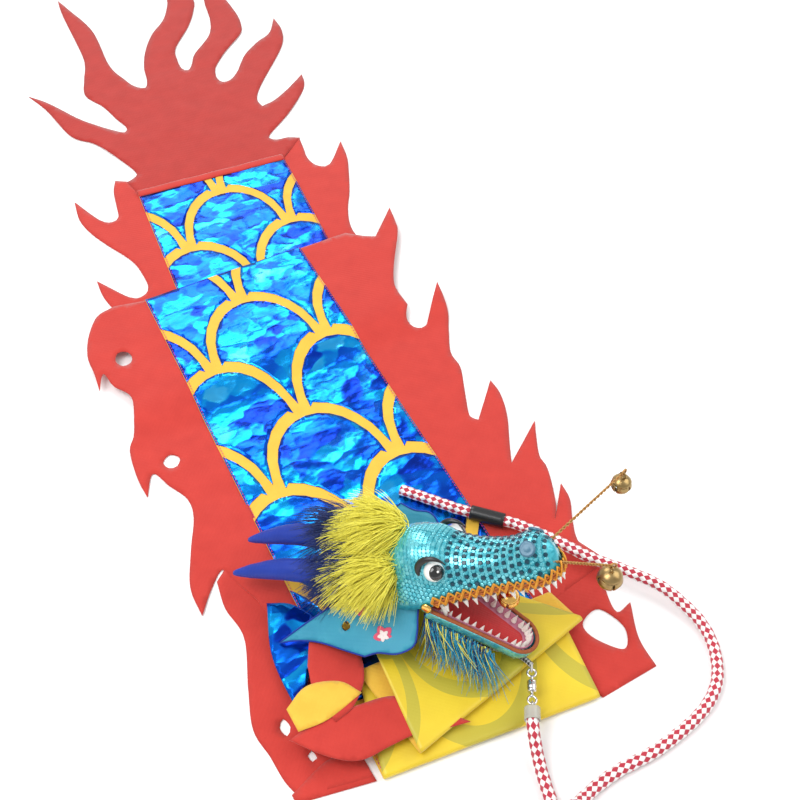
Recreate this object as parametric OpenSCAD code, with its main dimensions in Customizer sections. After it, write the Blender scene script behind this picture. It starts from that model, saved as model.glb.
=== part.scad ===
// Ribbon dragon on a swivel rope, laid out flat: head, scaled ribbon with flame borders, tail fin and rope.
// The ribbon lies along Y with its tail towards +Y; the floor is Z = 0.

/* [Ribbon] */
// Width of the scaled strip between its two borders
strip_w = 160; // [120:5:200]
// Thickness of every layer of cloth
cloth_t = 1.2; // [0.8:0.1:2]
// Rise from one folded layer to the next
layer_rise = 4; // [3:0.5:6]
// Length of the strip in the tail run, seam to hidden fold
tail_run_l = 260; // [200:10:320]
// Length of the long middle run, top fold to bottom fold
main_run_l = 523; // [420:10:640]
// Width of the plain band that the flames stand on
band_w = 36; // [24:2:50]
// How far a flame tip stands out from the strip
flame_reach = 78; // [55:1:100]
// Distance from one flame to the next
flame_pitch = 118; // [90:2:150]

/* [Tail] */
// Length of the tail fin from its seam to its longest tip
tail_l = 480; // [380:10:580]
// Width of the tape sewn over the tail seam
tape_w = 12; // [8:1:20]

/* [Head] */
// Length of the snout from the jaw hinge to the nose
snout_l = 96; // [84:1:112]
// Width of the skull at the cheeks
skull_w = 60; // [54:1:70]
// Width of the snout near the nose
nose_w = 34; // [28:1:40]
// Wall of the two head shells
shell_t = 2.4; // [1.6:0.2:4]
// Length of the lower jaw from its hinge
jaw_l = 80; // [68:1:90]
// Angle that the mouth stands open
jaw_open = 48; // [30:1:52]
// Diameter of the two jaw rivets
rivet_d = 4; // [3:0.5:5]
// Radial clearance of the jaw on its rivets
rivet_gap = 0.05; // [0.02:0.01:0.1]
// Diameter of the eyes
eye_d = 17; // [13:0.5:21]
// Height of a tooth
tooth_h = 5.5; // [3:0.5:7]

/* [Trim] */
// Diameter of the bell on the left whisker
left_bell_d = 15; // [12:0.5:20]
// Diameter of the bell on the right whisker
right_bell_d = 18; // [12:0.5:20]
// Diameter of the bell that hangs in the mouth
mouth_bell_d = 15; // [11:0.5:17]
// Diameter of the whisker wire
whisker_d = 2; // [1.4:0.1:3]

/* [Rope] */
// Diameter of the braided rope
rope_d = 9; // [7:0.5:10]
// Diameter of the thin tow cord
cord_d = 4; // [3:0.5:5]
// Outer diameter of the swivel barrel
barrel_d = 7; // [6:0.5:9]
// Length of the swivel barrel
barrel_l = 9; // [8:0.5:14]

/* [Hidden] */
$fn = 32;
eps = 0.01;

// ---- fold lines of the strip: centre, tilt and half length, from the tail seam to the neck
function turn(a, p) = [p.x * cos(a) - p.y * sin(a), p.x * sin(a) + p.y * cos(a)];
// The lower end stays beside the head and the rope; the tail moves when the long run changes
low_y = -567;
top_y = low_y + main_run_l - 1;
pleat_l = 107;
tail_seam = [[20, top_y - pleat_l + tail_run_l], -6.3, strip_w / 2];
tail_fold = [[-14, top_y - pleat_l], -3.4, strip_w / 2];
top_fold = [[-33, top_y], -1.8, strip_w / 2];
low_fold = [[-60, low_y], -8.2, strip_w / 2 + 3];
back_fold = [low_fold[0] + [18, 78], -5, strip_w / 2];
crease_fold = [low_fold[0] + [25, 27], 11, strip_w / 2];
neck_line = [low_fold[0] + [-7, 116], 24, 40];
function end_of(f, side) = f[0] + turn(f[1], [side * f[2], 0]);

// ---- head frame: the origin is the middle of the jaw hinge, +X out along the snout, +Z to the crown
head_at = [-46, -470, 56];
head_tip = [-18, -30, -43];
function rot_x(a, p) = [p.x, p.y * cos(a) - p.z * sin(a), p.y * sin(a) + p.z * cos(a)];
function rot_y(a, p) = [p.x * cos(a) + p.z * sin(a), p.y, -p.x * sin(a) + p.z * cos(a)];
function rot_z(a, p) = [p.x * cos(a) - p.y * sin(a), p.x * sin(a) + p.y * cos(a), p.z];
function on_head_point(p) = head_at + rot_z(head_tip.z, rot_y(head_tip.y, rot_x(head_tip.x, p)));
module on_head() translate(head_at) rotate(head_tip) children();
module on_jaw() on_head() rotate([0, jaw_open, 0]) children();

skull_h = 22;
nose_h = 13;
nose_x = snout_l - nose_w / 2;
joint_gap = 0.3;
cheek_t = 2.6;
cheek_y = skull_w / 2 - 0.4;
jaw_y = cheek_y - cheek_t - joint_gap;
hoop_x = -38;
hoop_z = 14;
hoop_r = 27;
lining_t = 1.2;
jaw_h = 13;
hinge_disc_r = 6.5;
pocket_depth = 8;

// ---- cloth
// One quarter-bend of an outline: n points from a towards b, drawn to the corner c
function bend(a, c, b, n = 5) = [for (i = [0 : n - 1]) let (t = i / n)
    (1 - t) * (1 - t) * a + 2 * t * (1 - t) * c + t * t * b];
// A closed outline from points that alternate between the line and its corners
function outline(p) = [for (i = [0 : 2 : len(p) - 2]) each bend(p[i], p[i + 1], p[(i + 2) % len(p)])];

// Flat run of cloth between two fold lines, at the given layer
module run(a, b, layer) {
    translate([0, 0, layer * layer_rise]) linear_extrude(cloth_t)
        polygon([end_of(a, -1), end_of(a, 1), end_of(b, 1), end_of(b, -1)]);
}

// Rounded fold that joins one layer to the next, bulging towards +Y or -Y.
// It is pressed a little thinner than the cloth, and its short legs end inside the two layers.
fold_leg = 1;
fold_thin = 0.1;
module fold(f, layer, way) {
    outer = (layer_rise + cloth_t) / 2 - fold_thin;
    wall = cloth_t - 2 * fold_thin;
    translate([f[0].x, f[0].y, layer * layer_rise + outer + fold_thin])
        rotate([0, 0, f[1]]) rotate([90, 0, 90]) linear_extrude(2 * (f[2] - fold_leg / 2), center = true) {
            intersection() {
                difference() {
                    circle(outer);
                    circle(outer - wall);
                }
                translate([way > 0 ? 0 : -2 * outer, -2 * outer]) square([2 * outer, 4 * outer]);
            }
            for (z = [-outer, outer - wall])
                translate([way > 0 ? -fold_leg : -eps, z]) square([fold_leg + eps, wall]);
        }
}

// Cloth that drapes from one height to another as it goes along Y
module draped(steps) {
    top = [for (s = steps) [s.x, s.y + cloth_t]];
    bottom = [for (i = [len(steps) - 1 : -1 : 0]) steps[i]];
    intersection() {
        rotate([90, 0, 90]) translate([0, 0, -400]) linear_extrude(800) polygon(concat(top, bottom));
        translate([0, 0, -1]) linear_extrude(60) children();
    }
}
main_drape = [[top_y - main_run_l - 60, 0], [top_y - pleat_l - 48, 0], [top_y - pleat_l - 8, 2 * layer_rise],
    [top_y + 20, 2 * layer_rise]];
neck_drape = [[low_fold[0].y - 20, 3 * layer_rise], [low_fold[0].y + 70, 3 * layer_rise],
    [low_fold[0].y + 112, 3 * layer_rise + 7], [low_fold[0].y + 140, 3 * layer_rise + 7]];

module ribbon_strip() color("royalblue") {
    run(tail_seam, tail_fold, 0);
    fold(tail_fold, 0, -1);
    run(top_fold, tail_fold, 1);
    fold(top_fold, 1, 1);
    draped(main_drape)
        polygon([end_of(top_fold, -1), end_of(top_fold, 1), end_of(low_fold, 1), end_of(low_fold, -1)]);
    fold(low_fold, 0, -1);
    run(back_fold, low_fold, 1);
    fold(back_fold, 1, 1);
    run(back_fold, crease_fold, 2);
    fold(crease_fold, 2, -1);
    draped(neck_drape)
        polygon([end_of(neck_line, -1), end_of(neck_line, 1), end_of(crease_fold, 1), end_of(crease_fold, -1)]);
}

// Flames along one edge of the strip from point a to point b; side is -1 on the left and 1 on the right.
// The tips lean towards b.
module flames(a, b, side, first, tips, reach = flame_reach) {
    along = norm(b - a);
    heading = atan2(b.y - a.y, b.x - a.x) - 90;
    edge = [for (i = [0 : tips - 1]) let (s = first + i * flame_pitch) each outline_part(s, reach)];
    translate(a) rotate(heading) intersection() {
        scale([side, 1]) polygon(concat([[0, 0], [band_w, 0]], edge, [[band_w, along], [0, along]]));
        translate([-2 * reach, 0]) square([4 * reach, along]);
    }
}
// One flame: up its outer side to the tip and down its inner side to the next notch
function outline_part(s, reach) = concat(
    bend([band_w, s], [reach + 8, s + 0.3 * flame_pitch], [reach, s + 0.98 * flame_pitch]),
    bend([reach, s + 0.98 * flame_pitch], [reach - 12, s + 0.68 * flame_pitch],
        [band_w + 6, s + 0.72 * flame_pitch]),
    bend([band_w + 6, s + 0.72 * flame_pitch], [band_w - 4, s + 0.76 * flame_pitch],
        [band_w, s + 0.92 * flame_pitch], 3));

module flame_border_left() color("firebrick") {
    linear_extrude(cloth_t) flames(end_of(tail_fold, -1), end_of(tail_seam, -1), -1, 20, 2);
    draped(main_drape) flames(end_of(top_fold, -1), end_of(low_fold, -1), 1, 40, 4);
    translate([0, 0, layer_rise]) linear_extrude(cloth_t)
        flames(end_of(back_fold, -1), end_of(low_fold, -1), 1, 0, 1, flame_reach * 0.7);
    translate([0, 0, 3 * layer_rise]) linear_extrude(cloth_t)
        translate(end_of(crease_fold, -1))
            polygon(outline([[0, 0], [2.2, 22], [5.4, 52], [-20, 66], [-46, 44], [-60, 20], [-46, -2], [-16, 0]]));
}
module flame_border_right() color("firebrick") {
    linear_extrude(cloth_t) flames(end_of(tail_fold, 1), end_of(tail_seam, 1), 1, 20, 2);
    draped(main_drape) flames(end_of(low_fold, 1), end_of(top_fold, 1), 1, 56, 4);
    translate([0, 0, layer_rise]) linear_extrude(cloth_t)
        flames(end_of(low_fold, 1), end_of(back_fold, 1), 1, 0, 1, flame_reach * 0.8);
}

// Tail fin: six long tongues on a plain root; points are set from the middle of the seam
module tail_fin() color("firebrick") translate([tail_seam[0].x, tail_seam[0].y + 2 * eps, 0])
    linear_extrude(cloth_t) polygon([for (p = tail_outline) fin_point(p)]);
// Widens a point with the strip along the slant of the seam, and lengthens it with the fin
seam_slope = tan(tail_seam[1]);
function fin_point(p) = let (x = p.x * strip_w / 160) [x, seam_slope * x + (p.y - seam_slope * p.x) * tail_l / 480];
seam_left = turn(tail_seam[1], [-80, 0]);
seam_right = turn(tail_seam[1], [80, 0]);
tail_outline = outline([
    seam_left, [-84, 20], [-72, 40], [-72, 80], [-92, 128], [-112, 170], [-110, 205], [-118, 222], [-124, 238],
    [-108, 216], [-90, 180], [-76, 138], [-56, 118], [-44, 112], [-50, 160],
    [-64, 214], [-44, 280], [-34, 330], [-27, 415], [-20, 390], [-20, 350], [-14, 300], [-18, 220],
    [-12, 190], [2, 186], [16, 240], [50, 290], [90, 340], [92, 390], [94, 450], [132, 480],
    [120, 420], [132, 372], [122, 310], [66, 262], [40, 220], [58, 202],
    [82, 236], [106, 256], [134, 288], [140, 350], [144, 400], [176, 430], [150, 380], [157, 330], [160, 262], [120, 222],
    [84, 190], [78, 168], [84, 148], [104, 168], [128, 204], [156, 212], [176, 218], [192, 248],
    [196, 196], [150, 160], [100, 120], [102, 90], [140, 100], [168, 124], [160, 86], [120, 64], [86, 44],
    [84, 28], [92, 12], seam_right, [40, -4.4], [0, 0], [-40, 4.4]]);

module tail_seam_tape() color("indianred")
    translate([tail_seam[0].x, tail_seam[0].y, cloth_t]) rotate([0, 0, tail_seam[1]])
        translate([-strip_w / 2, -tape_w / 2, 0]) cube([strip_w, tape_w, 0.6]);

// ---- head
// Solid outer form of the upper head, flat across the mouth; inset shrinks it evenly
module head_form(inset = 0) {
    hull() {
        translate([-10, 0, 0]) cylinder(r = skull_w / 2 - inset, h = 12);
        translate([-14, 0, skull_h - 4]) sphere(skull_w / 2 - inset - 1);
        translate([14, 0, skull_h]) sphere(skull_w / 2 - 7 - inset);
    }
    hull() {
        translate([18, 0, 0]) cylinder(r = skull_w / 2 - 8 - inset, h = 10);
        translate([18, 0, 12]) sphere(skull_w / 2 - 9 - inset);
        translate([nose_x, 0, 0]) cylinder(r = nose_w / 2 - inset, h = nose_h);
        translate([nose_x, 0, nose_h]) sphere(nose_w / 2 - inset);
    }
}
module half_space(z) translate([-100, -100, z]) cube([260, 200, 120]);
module cheek_discs(y, r, t) for (side = [-1, 1])
    translate([0, side * (y - t / 2), 0]) rotate([90, 0, 0]) cylinder(r = r, h = t, center = true);
module rivet_holes(r) rotate([90, 0, 0]) cylinder(r = r, h = 2 * skull_w, center = true);

module head_shell() color("mediumturquoise") on_head() difference() {
    union() {
        intersection() { head_form(); half_space(0); }
        cheek_discs(cheek_y, 7, cheek_t);
        for (side = [-1, 1]) translate([-7, side > 0 ? cheek_y - cheek_t : -cheek_y, 0]) cube([14, cheek_t, 4]);
    }
    intersection() { head_form(shell_t); half_space(shell_t); }
    translate([hoop_x - 60, -60, -20]) cube([60, 120, 120]);
    rivet_holes(rivet_d / 2);
    // room for the two hinge discs of the jaw to turn in
    for (side = [-1, 1]) translate([0, side * (cheek_y - cheek_t - pocket_depth / 2), 0])
        rotate([90, 0, 0]) cylinder(r = hinge_disc_r + 0.8, h = pocket_depth, center = true);
}
// Plan of the mouth roof, grown by the given amount
module lip_plan(grow) hull() {
    translate([6, 0]) circle(skull_w / 2 - 8 + grow);
    translate([nose_x, 0]) circle(nose_w / 2 + grow);
}
module front_of(x) translate([x, -60, -60]) cube([200, 120, 160]);
module palate_lining() color("firebrick") on_head() intersection() {
    translate([0, 0, -lining_t]) linear_extrude(lining_t) lip_plan(-4);
    front_of(2);
}
// Places children at even steps along one side of a jaw plan, facing outwards
module along_lip(count, half_w_back, half_w_front, x0, x1) {
    for (side = [-1, 1]) for (i = [0 : count - 1]) {
        t = (i + 0.5) / count;
        translate([x0 + t * (x1 - x0), side * (half_w_back + t * (half_w_front - half_w_back)), 0]) children();
    }
}
module tooth(h, w = 4.4, t = 1.6) rotate([90, 0, 0]) linear_extrude(t, center = true)
    polygon([[-w / 2, 0], [w / 2, 0], [0, h]]);
module upper_teeth() color("ivory") on_head() {
    along_lip(9, skull_w / 2 - 12, nose_w / 2 - 3.4, 16, nose_x - 2)
        translate([0, 0, -lining_t]) mirror([0, 0, 1]) tooth(tooth_h);
    for (a = [-60 : 30 : 60]) translate([nose_x, 0, -lining_t]) rotate([0, 0, a])
        translate([nose_w / 2 - 5.4, 0, 0]) rotate([0, 0, 90]) mirror([0, 0, 1]) tooth(tooth_h * 0.9);
}
module fangs() color("ivory") on_head() for (side = [-1, 1])
    translate([9, side * (skull_w / 2 - 11.4), -lining_t - 12]) cylinder(r1 = 0.6, r2 = 3.2, h = 12);
module lip_braid() color("goldenrod") on_head() difference() {
    intersection() {
        translate([0, 0, 0.4]) linear_extrude(4.4) difference() { braid_plan(2.2); braid_plan(0.1); }
        front_of(9);
    }
    head_form(-0.1);
}
module braid_plan(grow) hull() {
    translate([18, 0]) circle(skull_w / 2 - 8 + grow);
    translate([nose_x, 0]) circle(nose_w / 2 + grow);
}

// Lower jaw: an open-backed tray that turns on the two rivets
module jaw_plan(grow) hull() {
    translate([4, 0]) circle(jaw_y + grow);
    translate([jaw_l - 14, 0]) circle(14 + grow);
}
module lower_jaw() color("mediumturquoise") on_jaw() difference() {
    union() {
        intersection() {
            difference() {
                translate([0, 0, -jaw_h]) linear_extrude(jaw_h - 2) jaw_plan(0);
                translate([0, 0, -jaw_h + shell_t]) linear_extrude(jaw_h) jaw_plan(-shell_t);
            }
            front_of(-2);
        }
        cheek_discs(jaw_y, hinge_disc_r, shell_t);
    }
    rivet_holes(rivet_d / 2 + rivet_gap);
}
module jaw_lining() color("plum") on_jaw() intersection() {
    translate([0, 0, -jaw_h + shell_t]) linear_extrude(lining_t) jaw_plan(-shell_t - 0.05);
    front_of(-1);
}
module lower_teeth() color("ivory") on_jaw() translate([0, 0, -jaw_h + shell_t + lining_t])
    along_lip(9, jaw_y - shell_t - 3.4, 14 - shell_t - 2, 16, jaw_l - 14) tooth(tooth_h + 3);
module jaw_trim() color("chocolate") on_jaw() intersection() {
    translate([0, 0, -5]) linear_extrude(3) difference() { jaw_plan(2); jaw_plan(0.05); }
    front_of(14);
}
rivet_foot_y = jaw_y - shell_t - 1.3;
module jaw_rivets() color("goldenrod") on_head() for (side = [-1, 1]) scale([1, side, 1]) rotate([90, 0, 0]) {
    translate([0, 0, -cheek_y - 1.2]) cylinder(r = rivet_d, h = 1.2);
    translate([0, 0, -cheek_y - eps]) cylinder(d = rivet_d - 0.04, h = cheek_y - rivet_foot_y + eps);
    translate([0, 0, -rivet_foot_y]) cylinder(r = rivet_d * 0.8, h = 1);
}

eye_at = [12, skull_w / 2 - 7.5, 26];
module eyeball(side) difference() {
    translate([eye_at.x, side * eye_at.y, eye_at.z]) sphere(eye_d / 2);
    head_form();
}
module eye_left() color("white") on_head() eyeball(1);
module eye_right() color("white") on_head() eyeball(-1);
module pupils() color("black") on_head() for (side = [-1, 1]) intersection() {
    difference() {
        translate([eye_at.x, side * eye_at.y, eye_at.z]) sphere(eye_d / 2 + 1);
        translate([eye_at.x, side * eye_at.y, eye_at.z]) sphere(eye_d / 2);
        head_form();
    }
    translate([eye_at.x + 1.5, side * eye_at.y, eye_at.z]) rotate([side * -90, 0, 0]) cylinder(r = eye_d * 0.32, h = 20);
}
module eye_lashes() color("black") on_head() for (side = [-1, 1]) difference() {
    translate([eye_at.x - 2, side * (eye_at.y + 1), eye_at.z + 2]) rotate([90, 0, side * 8])
        intersection() {
            rotate_extrude() translate([eye_d / 2 + 3.5, 0]) circle(2.2, $fn = 16);
            translate([-30, -4, -6]) cube([30, 30, 12]);
        }
    head_form();
    translate([eye_at.x, side * eye_at.y, eye_at.z]) sphere(eye_d / 2 + 0.1);
}
module nostril_studs() color("slategray") on_head() for (side = [-1, 1]) difference() {
    translate([nose_x + 2, side * (nose_w / 2 - 4), nose_h + nose_w / 2 - 7]) sphere(5);
    head_form();
}

// ---- neck
sleeve_l = 24;
sleeve_taper = 8;
sleeve_t = 1.6;
module on_neck() on_head() translate([hoop_x - eps, 0, hoop_z]) rotate([0, -90, 0]) children();
module neck_cone(grow = 0) on_neck()
    cylinder(r1 = hoop_r + grow, r2 = hoop_r - sleeve_taper + grow, h = sleeve_l + grow);
// Wire hoop that rests inside the wide end of the sleeve
module neck_hoop() color("gray") on_neck() translate([0, 0, sleeve_t + 1.6])
    rotate_extrude() translate([hoop_r - 4.6, 0]) circle(1.5, $fn = 16);
module neck_sleeve() color("goldenrod") difference() {
    neck_cone();
    on_neck() translate([0, 0, sleeve_t])
        cylinder(r1 = hoop_r - sleeve_t - 0.5, r2 = hoop_r - sleeve_taper - sleeve_t, h = sleeve_l - sleeve_t + eps);
    on_neck() translate([0, 0, -eps]) cylinder(r = hoop_r - 12.5, h = sleeve_l);
}

// ---- fur, horns, ears and beard; points are measured from the jaw hinge
module head_body() {
    on_head() head_form(0);
    neck_cone(0.3);
}
module lock(a, ra, b, rb) hull() {
    translate(head_at + a) sphere(ra);
    translate(head_at + b) sphere(rb);
}
mane_left_top = [-14, 42, 42];
mane_right_top = [-40, 20, 22];
module mane_left() color("yellowgreen") difference() {
    lock(mane_left_top, 17, [-34, 62, 14], 15);
    head_body();
}
module mane_right() color("yellowgreen") difference() {
    lock(mane_right_top, 17, [-56, 42, -2], 14);
    head_body();
    lock(mane_left_top, 17.3, [-34, 62, 14], 15.3);
}
module mane_strands() color("midnightblue") difference() {
    union() {
        lock([-36, 70, -8], 13, [-62, 118, -30], 7);
        lock([-58, 56, -18], 13, [-84, 92, -34], 7);
    }
    head_body();
    lock(mane_left_top, 17.3, [-34, 62, 14], 15.3);
    lock(mane_right_top, 17.3, [-56, 42, -2], 14.3);
    horn_form(horn_left_points, 0.3);
    horn_form(horn_right_points, 0.3);
}
horn_left_points = [[-44, 66, -4], [-70, 96, -14], [-94, 118, -28]];
horn_right_points = [[-62, 52, -14], [-88, 78, -24], [-116, 102, -38]];
horn_r = [9, 8, 3];
module horn_form(p, grow = 0) for (i = [0, 1]) lock(p[i], horn_r[i] + grow, p[i + 1], horn_r[i + 1] + grow);
module horn_left() color("mediumblue") difference() {
    horn_form(horn_left_points);
    lock(mane_left_top, 17.3, [-34, 62, 14], 15.3);
    lock(mane_right_top, 17.3, [-56, 42, -2], 14.3);
    head_body();
}
module horn_right() color("mediumblue") difference() {
    horn_form(horn_right_points);
    lock(mane_left_top, 17.3, [-34, 62, 14], 15.3);
    lock(mane_right_top, 17.3, [-56, 42, -2], 14.3);
    horn_form(horn_left_points, 0.3);
    head_body();
}

// Ear flaps: flat cloth shapes, sewn at the wide end and pointed at the other
ear_plan = outline([[0, 16], [4, 26], [20, 24], [50, 20], [74, 8], [90, 4], [104, 4], [86, -4], [66, -14],
    [40, -22], [14, -22], [2, -18], [0, -6], [-2, 6]]);
ear_t = 2;
ear_right_at = head_at + [-28, -9, -4];
ear_right_turn = [-32, 17, 152];
ear_left_at = head_at + [26, 54, -18];
ear_left_turn = [-34, 8, 100];
module ear_right() color("deepskyblue") difference() {
    translate(ear_right_at) rotate(ear_right_turn) linear_extrude(ear_t) polygon(ear_plan);
    // keeps the flap outside the cheek, the jaw and the neck
    on_head() translate([-66, -cheek_y - 1.7, -60]) cube([130, 100, 120]);
    neck_cone(0.3);
}
module ear_left() color("deepskyblue")
    translate(ear_left_at) rotate(ear_left_turn) linear_extrude(ear_t) polygon(ear_plan);
module ear_flower() color("pink") translate(ear_right_at) rotate(ear_right_turn) translate([26, 14, ear_t]) {
    for (i = [0 : 4]) rotate([0, 0, i * 72]) translate([4, 0, 0]) cylinder(r = 2.6, h = 1);
    cylinder(r = 2.4, h = 1.8);
}
module beard() color("teal") on_head() translate([-4, -skull_w / 2 - 4.4, -38]) hull() {
    cube([34, 2.4, 1]);
    translate([4, 2, 32]) cube([20, 2, 1]);
}

// ---- whiskers and bells
ring_r = 2.6;
ring_w = 0.7;
whisker_left_foot = on_head_point([nose_x + 10, 11, nose_h + 3]);
whisker_right_foot = on_head_point([nose_x + 10, -11, nose_h + 3]);
whisker_left_reach = [80, 24, -4];
whisker_right_reach = [48, -17, -20];
function heading_of(v) = atan2(v.y, v.x);
function ring_centre(foot, reach) = foot + reach * (1 + ring_r / norm(reach));
module rod(a, b, d) {
    v = b - a;
    translate(a) rotate([0, acos(v.z / norm(v)), heading_of(v)]) cylinder(d = d, h = norm(v));
}
// Upright ring that stands in the plane of the given heading
module upright_ring(at, heading) translate(at) rotate([90, 0, heading])
    rotate_extrude() translate([ring_r, 0]) circle(ring_w, $fn = 16);
module whisker(foot, reach) difference() {
    union() {
        rod(foot, foot + reach, whisker_d);
        upright_ring(ring_centre(foot, reach), heading_of(reach));
    }
    on_head() head_form(-0.5);
}
module whisker_left() color("peru") whisker(whisker_left_foot, whisker_left_reach);
module whisker_right() color("peru") whisker(whisker_right_foot, whisker_right_reach);

// Jingle bell that hangs on the lowest point of a ring: loop, stem, slotted round shell
bell_t = 0.8;
slot_w = 1.8;
// Distance between the middles of a ring and of the loop that hangs in it
loop_drop = 2 * ring_r - ring_w - 0.9;
module bell(ring, heading, d, stem) {
    loop = ring - [0, 0, loop_drop];
    centre = bell_centre(ring, d, stem);
    upright_ring(loop, heading + 90);
    translate(centre + [0, 0, d / 2 - 0.6]) cylinder(d = 2.4, h = stem + 0.9);
    difference() {
        translate(centre) sphere(d = d);
        translate(centre) sphere(d = d - 2 * bell_t);
        // two crossed slots in the lower half
        translate(centre + [-d, -slot_w / 2, -d]) cube([2 * d, slot_w, d * 0.78]);
        translate(centre + [-slot_w / 2, -d, -d]) cube([slot_w, 2 * d, d * 0.78]);
    }
}
function bell_centre(ring, d, stem) = ring - [0, 0, loop_drop + ring_r + stem + d / 2];
pellet_d = 5;
pellet_gap = 0.15;
module pellet(ring, d, stem)
    translate(bell_centre(ring, d, stem) - [0, 0, d / 2 - bell_t - pellet_d / 2 - pellet_gap]) sphere(d = pellet_d);
bell_stem = 0.6;
mouth_stem = 8;
left_ring = ring_centre(whisker_left_foot, whisker_left_reach);
right_ring = ring_centre(whisker_right_foot, whisker_right_reach);
mouth_ring = on_head_point([58, -4, -lining_t]) - [0, 0, ring_r + 1.2];
mouth_heading = head_tip.z;
module whisker_bell_left() color("darkgoldenrod")
    bell(left_ring, heading_of(whisker_left_reach), left_bell_d, bell_stem);
module whisker_bell_right() color("darkgoldenrod")
    bell(right_ring, heading_of(whisker_right_reach), right_bell_d, bell_stem);
module bell_pellet_left() color("silver") pellet(left_ring, left_bell_d, bell_stem);
module bell_pellet_right() color("silver") pellet(right_ring, right_bell_d, bell_stem);
module mouth_bell_hook() color("gold") difference() {
    union() {
        upright_ring(mouth_ring, mouth_heading);
        translate(mouth_ring + [0, 0, ring_r - 0.2]) cylinder(d = 1.8, h = 4);
    }
    on_head() translate([0, 0, -lining_t]) linear_extrude(20) lip_plan(6);
}
module mouth_bell() color("gold") bell(mouth_ring, mouth_heading, mouth_bell_d, mouth_stem);
module bell_pellet_mouth() color("silver") pellet(mouth_ring, mouth_bell_d, mouth_stem);

// ---- tow cord, swivel and rope
swivel_at = [-21, -556, 18];
swivel_heading = -123;
module on_swivel() translate(swivel_at) rotate([0, 0, swivel_heading]) children();
eye_r = 3;
eye_wire = 0.9;
shank_d = 2.2;
barrel_wall = 1.4;
eye_x = barrel_l / 2 + 3 + eye_r;
module swivel_eye(way) scale([way, 1, 1]) {
    translate([eye_x, 0, 0]) rotate_extrude() translate([eye_r, 0]) circle(eye_wire, $fn = 16);
    translate([1.4, 0, 0]) rotate([0, 90, 0]) cylinder(d = shank_d, h = eye_x - eye_r - 1.4);
    translate([1.4, 0, 0]) rotate([0, 90, 0]) cylinder(d = barrel_d - 2 * barrel_wall - 0.6, h = 1.6);
}
// Upright link that is threaded through a swivel eye
link_x = eye_x + eye_r - eye_wire - ring_w - 0.1 + ring_r;
link_end = link_x + ring_r;
module swivel_link(way) on_swivel() translate([way * link_x, 0, 0]) rotate([90, 0, 0])
    rotate_extrude() translate([ring_r, 0]) circle(ring_w, $fn = 16);
function swivel_point(x) = let (p = turn(swivel_heading, [x, 0])) swivel_at + [p.x, p.y, 0];
module swivel_head_eye() color("silver") on_swivel() swivel_eye(-1);
module swivel_rope_eye() color("silver") on_swivel() swivel_eye(1);
module swivel_barrel() color("silver") on_swivel() rotate([0, 90, 0]) difference() {
    cylinder(d = barrel_d, h = barrel_l, center = true);
    cylinder(d = barrel_d - 2 * barrel_wall, h = barrel_l - 2 * barrel_wall, center = true);
    cylinder(d = shank_d + 0.1, h = 2 * barrel_l, center = true);
}

// Routes are lists of points along the middle of the cord or rope
tow_route = [[-42, -498, 17.5], [-36, -506, 16.6], [-28, -515, 15.6], [-20, -524, 15.8], [-14, -533, 17],
    swivel_point(-link_end + 0.2)];
rope_z = 4.7;
lead_route = [swivel_point(link_end + 1), swivel_point(link_end + 9), [-39.5, -587, 14.5], [-43, -597, 9.5],
    [-46.5, -608, 5.8], [-50, -620, rope_z], [-55, -638, rope_z], [-58.8, -653, rope_z]];
return_route = [[-101.5, -615.4, 12.4], [-94, -617.4, 9.4], [-84, -623, 8.4], [-74, -631, 10.4], [-64, -636.6, 14.2],
    [-54, -639.4, 15], [-44, -639.6, 11], [-34, -637.6, 6.4], [-20, -634.6, rope_z], [1, -633, rope_z],
    [35, -634, rope_z], [75, -628, rope_z], [100, -616, rope_z], [116, -596, rope_z], [123, -573, 5.4],
    [120, -550, 8], [113, -530, 10.2],
    [98, -506, 10.4], [82, -484, 10.4], [68, -457, 9.6], [50.7, -428.4, 8], [44, -421, 8], [25.2, -400.3, 8],
    [18.4, -392.9, 7.6], [1, -369, 6.2], [-12, -352, 6.2]];
coil_at = [-123, -680];
coil_r_out = 62;
coil_r_in = 38;

// Round tube of n sides along a route of points, closed at both ends
function unit(v) = v / norm(v);
function tangent(p, i) = unit(p[min(i + 1, len(p) - 1)] - p[max(i - 1, 0)]);
function side_of(t) = unit(cross([0, 0, 1], t));
function tube_ring(p, i, r, n) = let (t = tangent(p, i), s = side_of(t), u = cross(t, s))
    [for (k = [0 : n - 1]) p[i] + r * (cos(k * 360 / n) * s + sin(k * 360 / n) * u)];
// Catmull-Rom points between the chosen ones
function spline_point(a, b, c, d, t) = 0.5 * (2 * b + t * (c - a)
    + t * t * (2 * a - 5 * b + 4 * c - d) + t * t * t * (3 * b - a - 3 * c + d));
function smooth_route(p, step) = concat([for (i = [0 : len(p) - 2])
    let (a = p[max(i - 1, 0)], b = p[i], c = p[i + 1], d = p[min(i + 2, len(p) - 1)],
        n = max(1, round(norm(c - b) / step)))
    for (k = [0 : n - 1]) spline_point(a, b, c, d, k / n)], [p[len(p) - 1]]);
module tube(route, d, n, step) {
    p = smooth_route(route, step);
    rings = len(p);
    points = [for (i = [0 : rings - 1]) each tube_ring(p, i, d / 2, n)];
    sides = [for (i = [0 : rings - 2]) for (k = [0 : n - 1])
        [i * n + k, (i + 1) * n + k, (i + 1) * n + (k + 1) % n, i * n + (k + 1) % n]];
    ends = [[for (k = [0 : n - 1]) k], [for (k = [n - 1 : -1 : 0]) (rings - 1) * n + k]];
    polyhedron(points, concat(sides, ends), convexity = 10);
}
module tow_cord() color("dimgray") {
    tube(tow_route, cord_d, 8, 9);
    swivel_link(-1);
}
module rope_lead() color("crimson") tube(lead_route, rope_d, 10, 20);
module rope_return() color("crimson") tube(return_route, rope_d, 10, 22);
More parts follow.
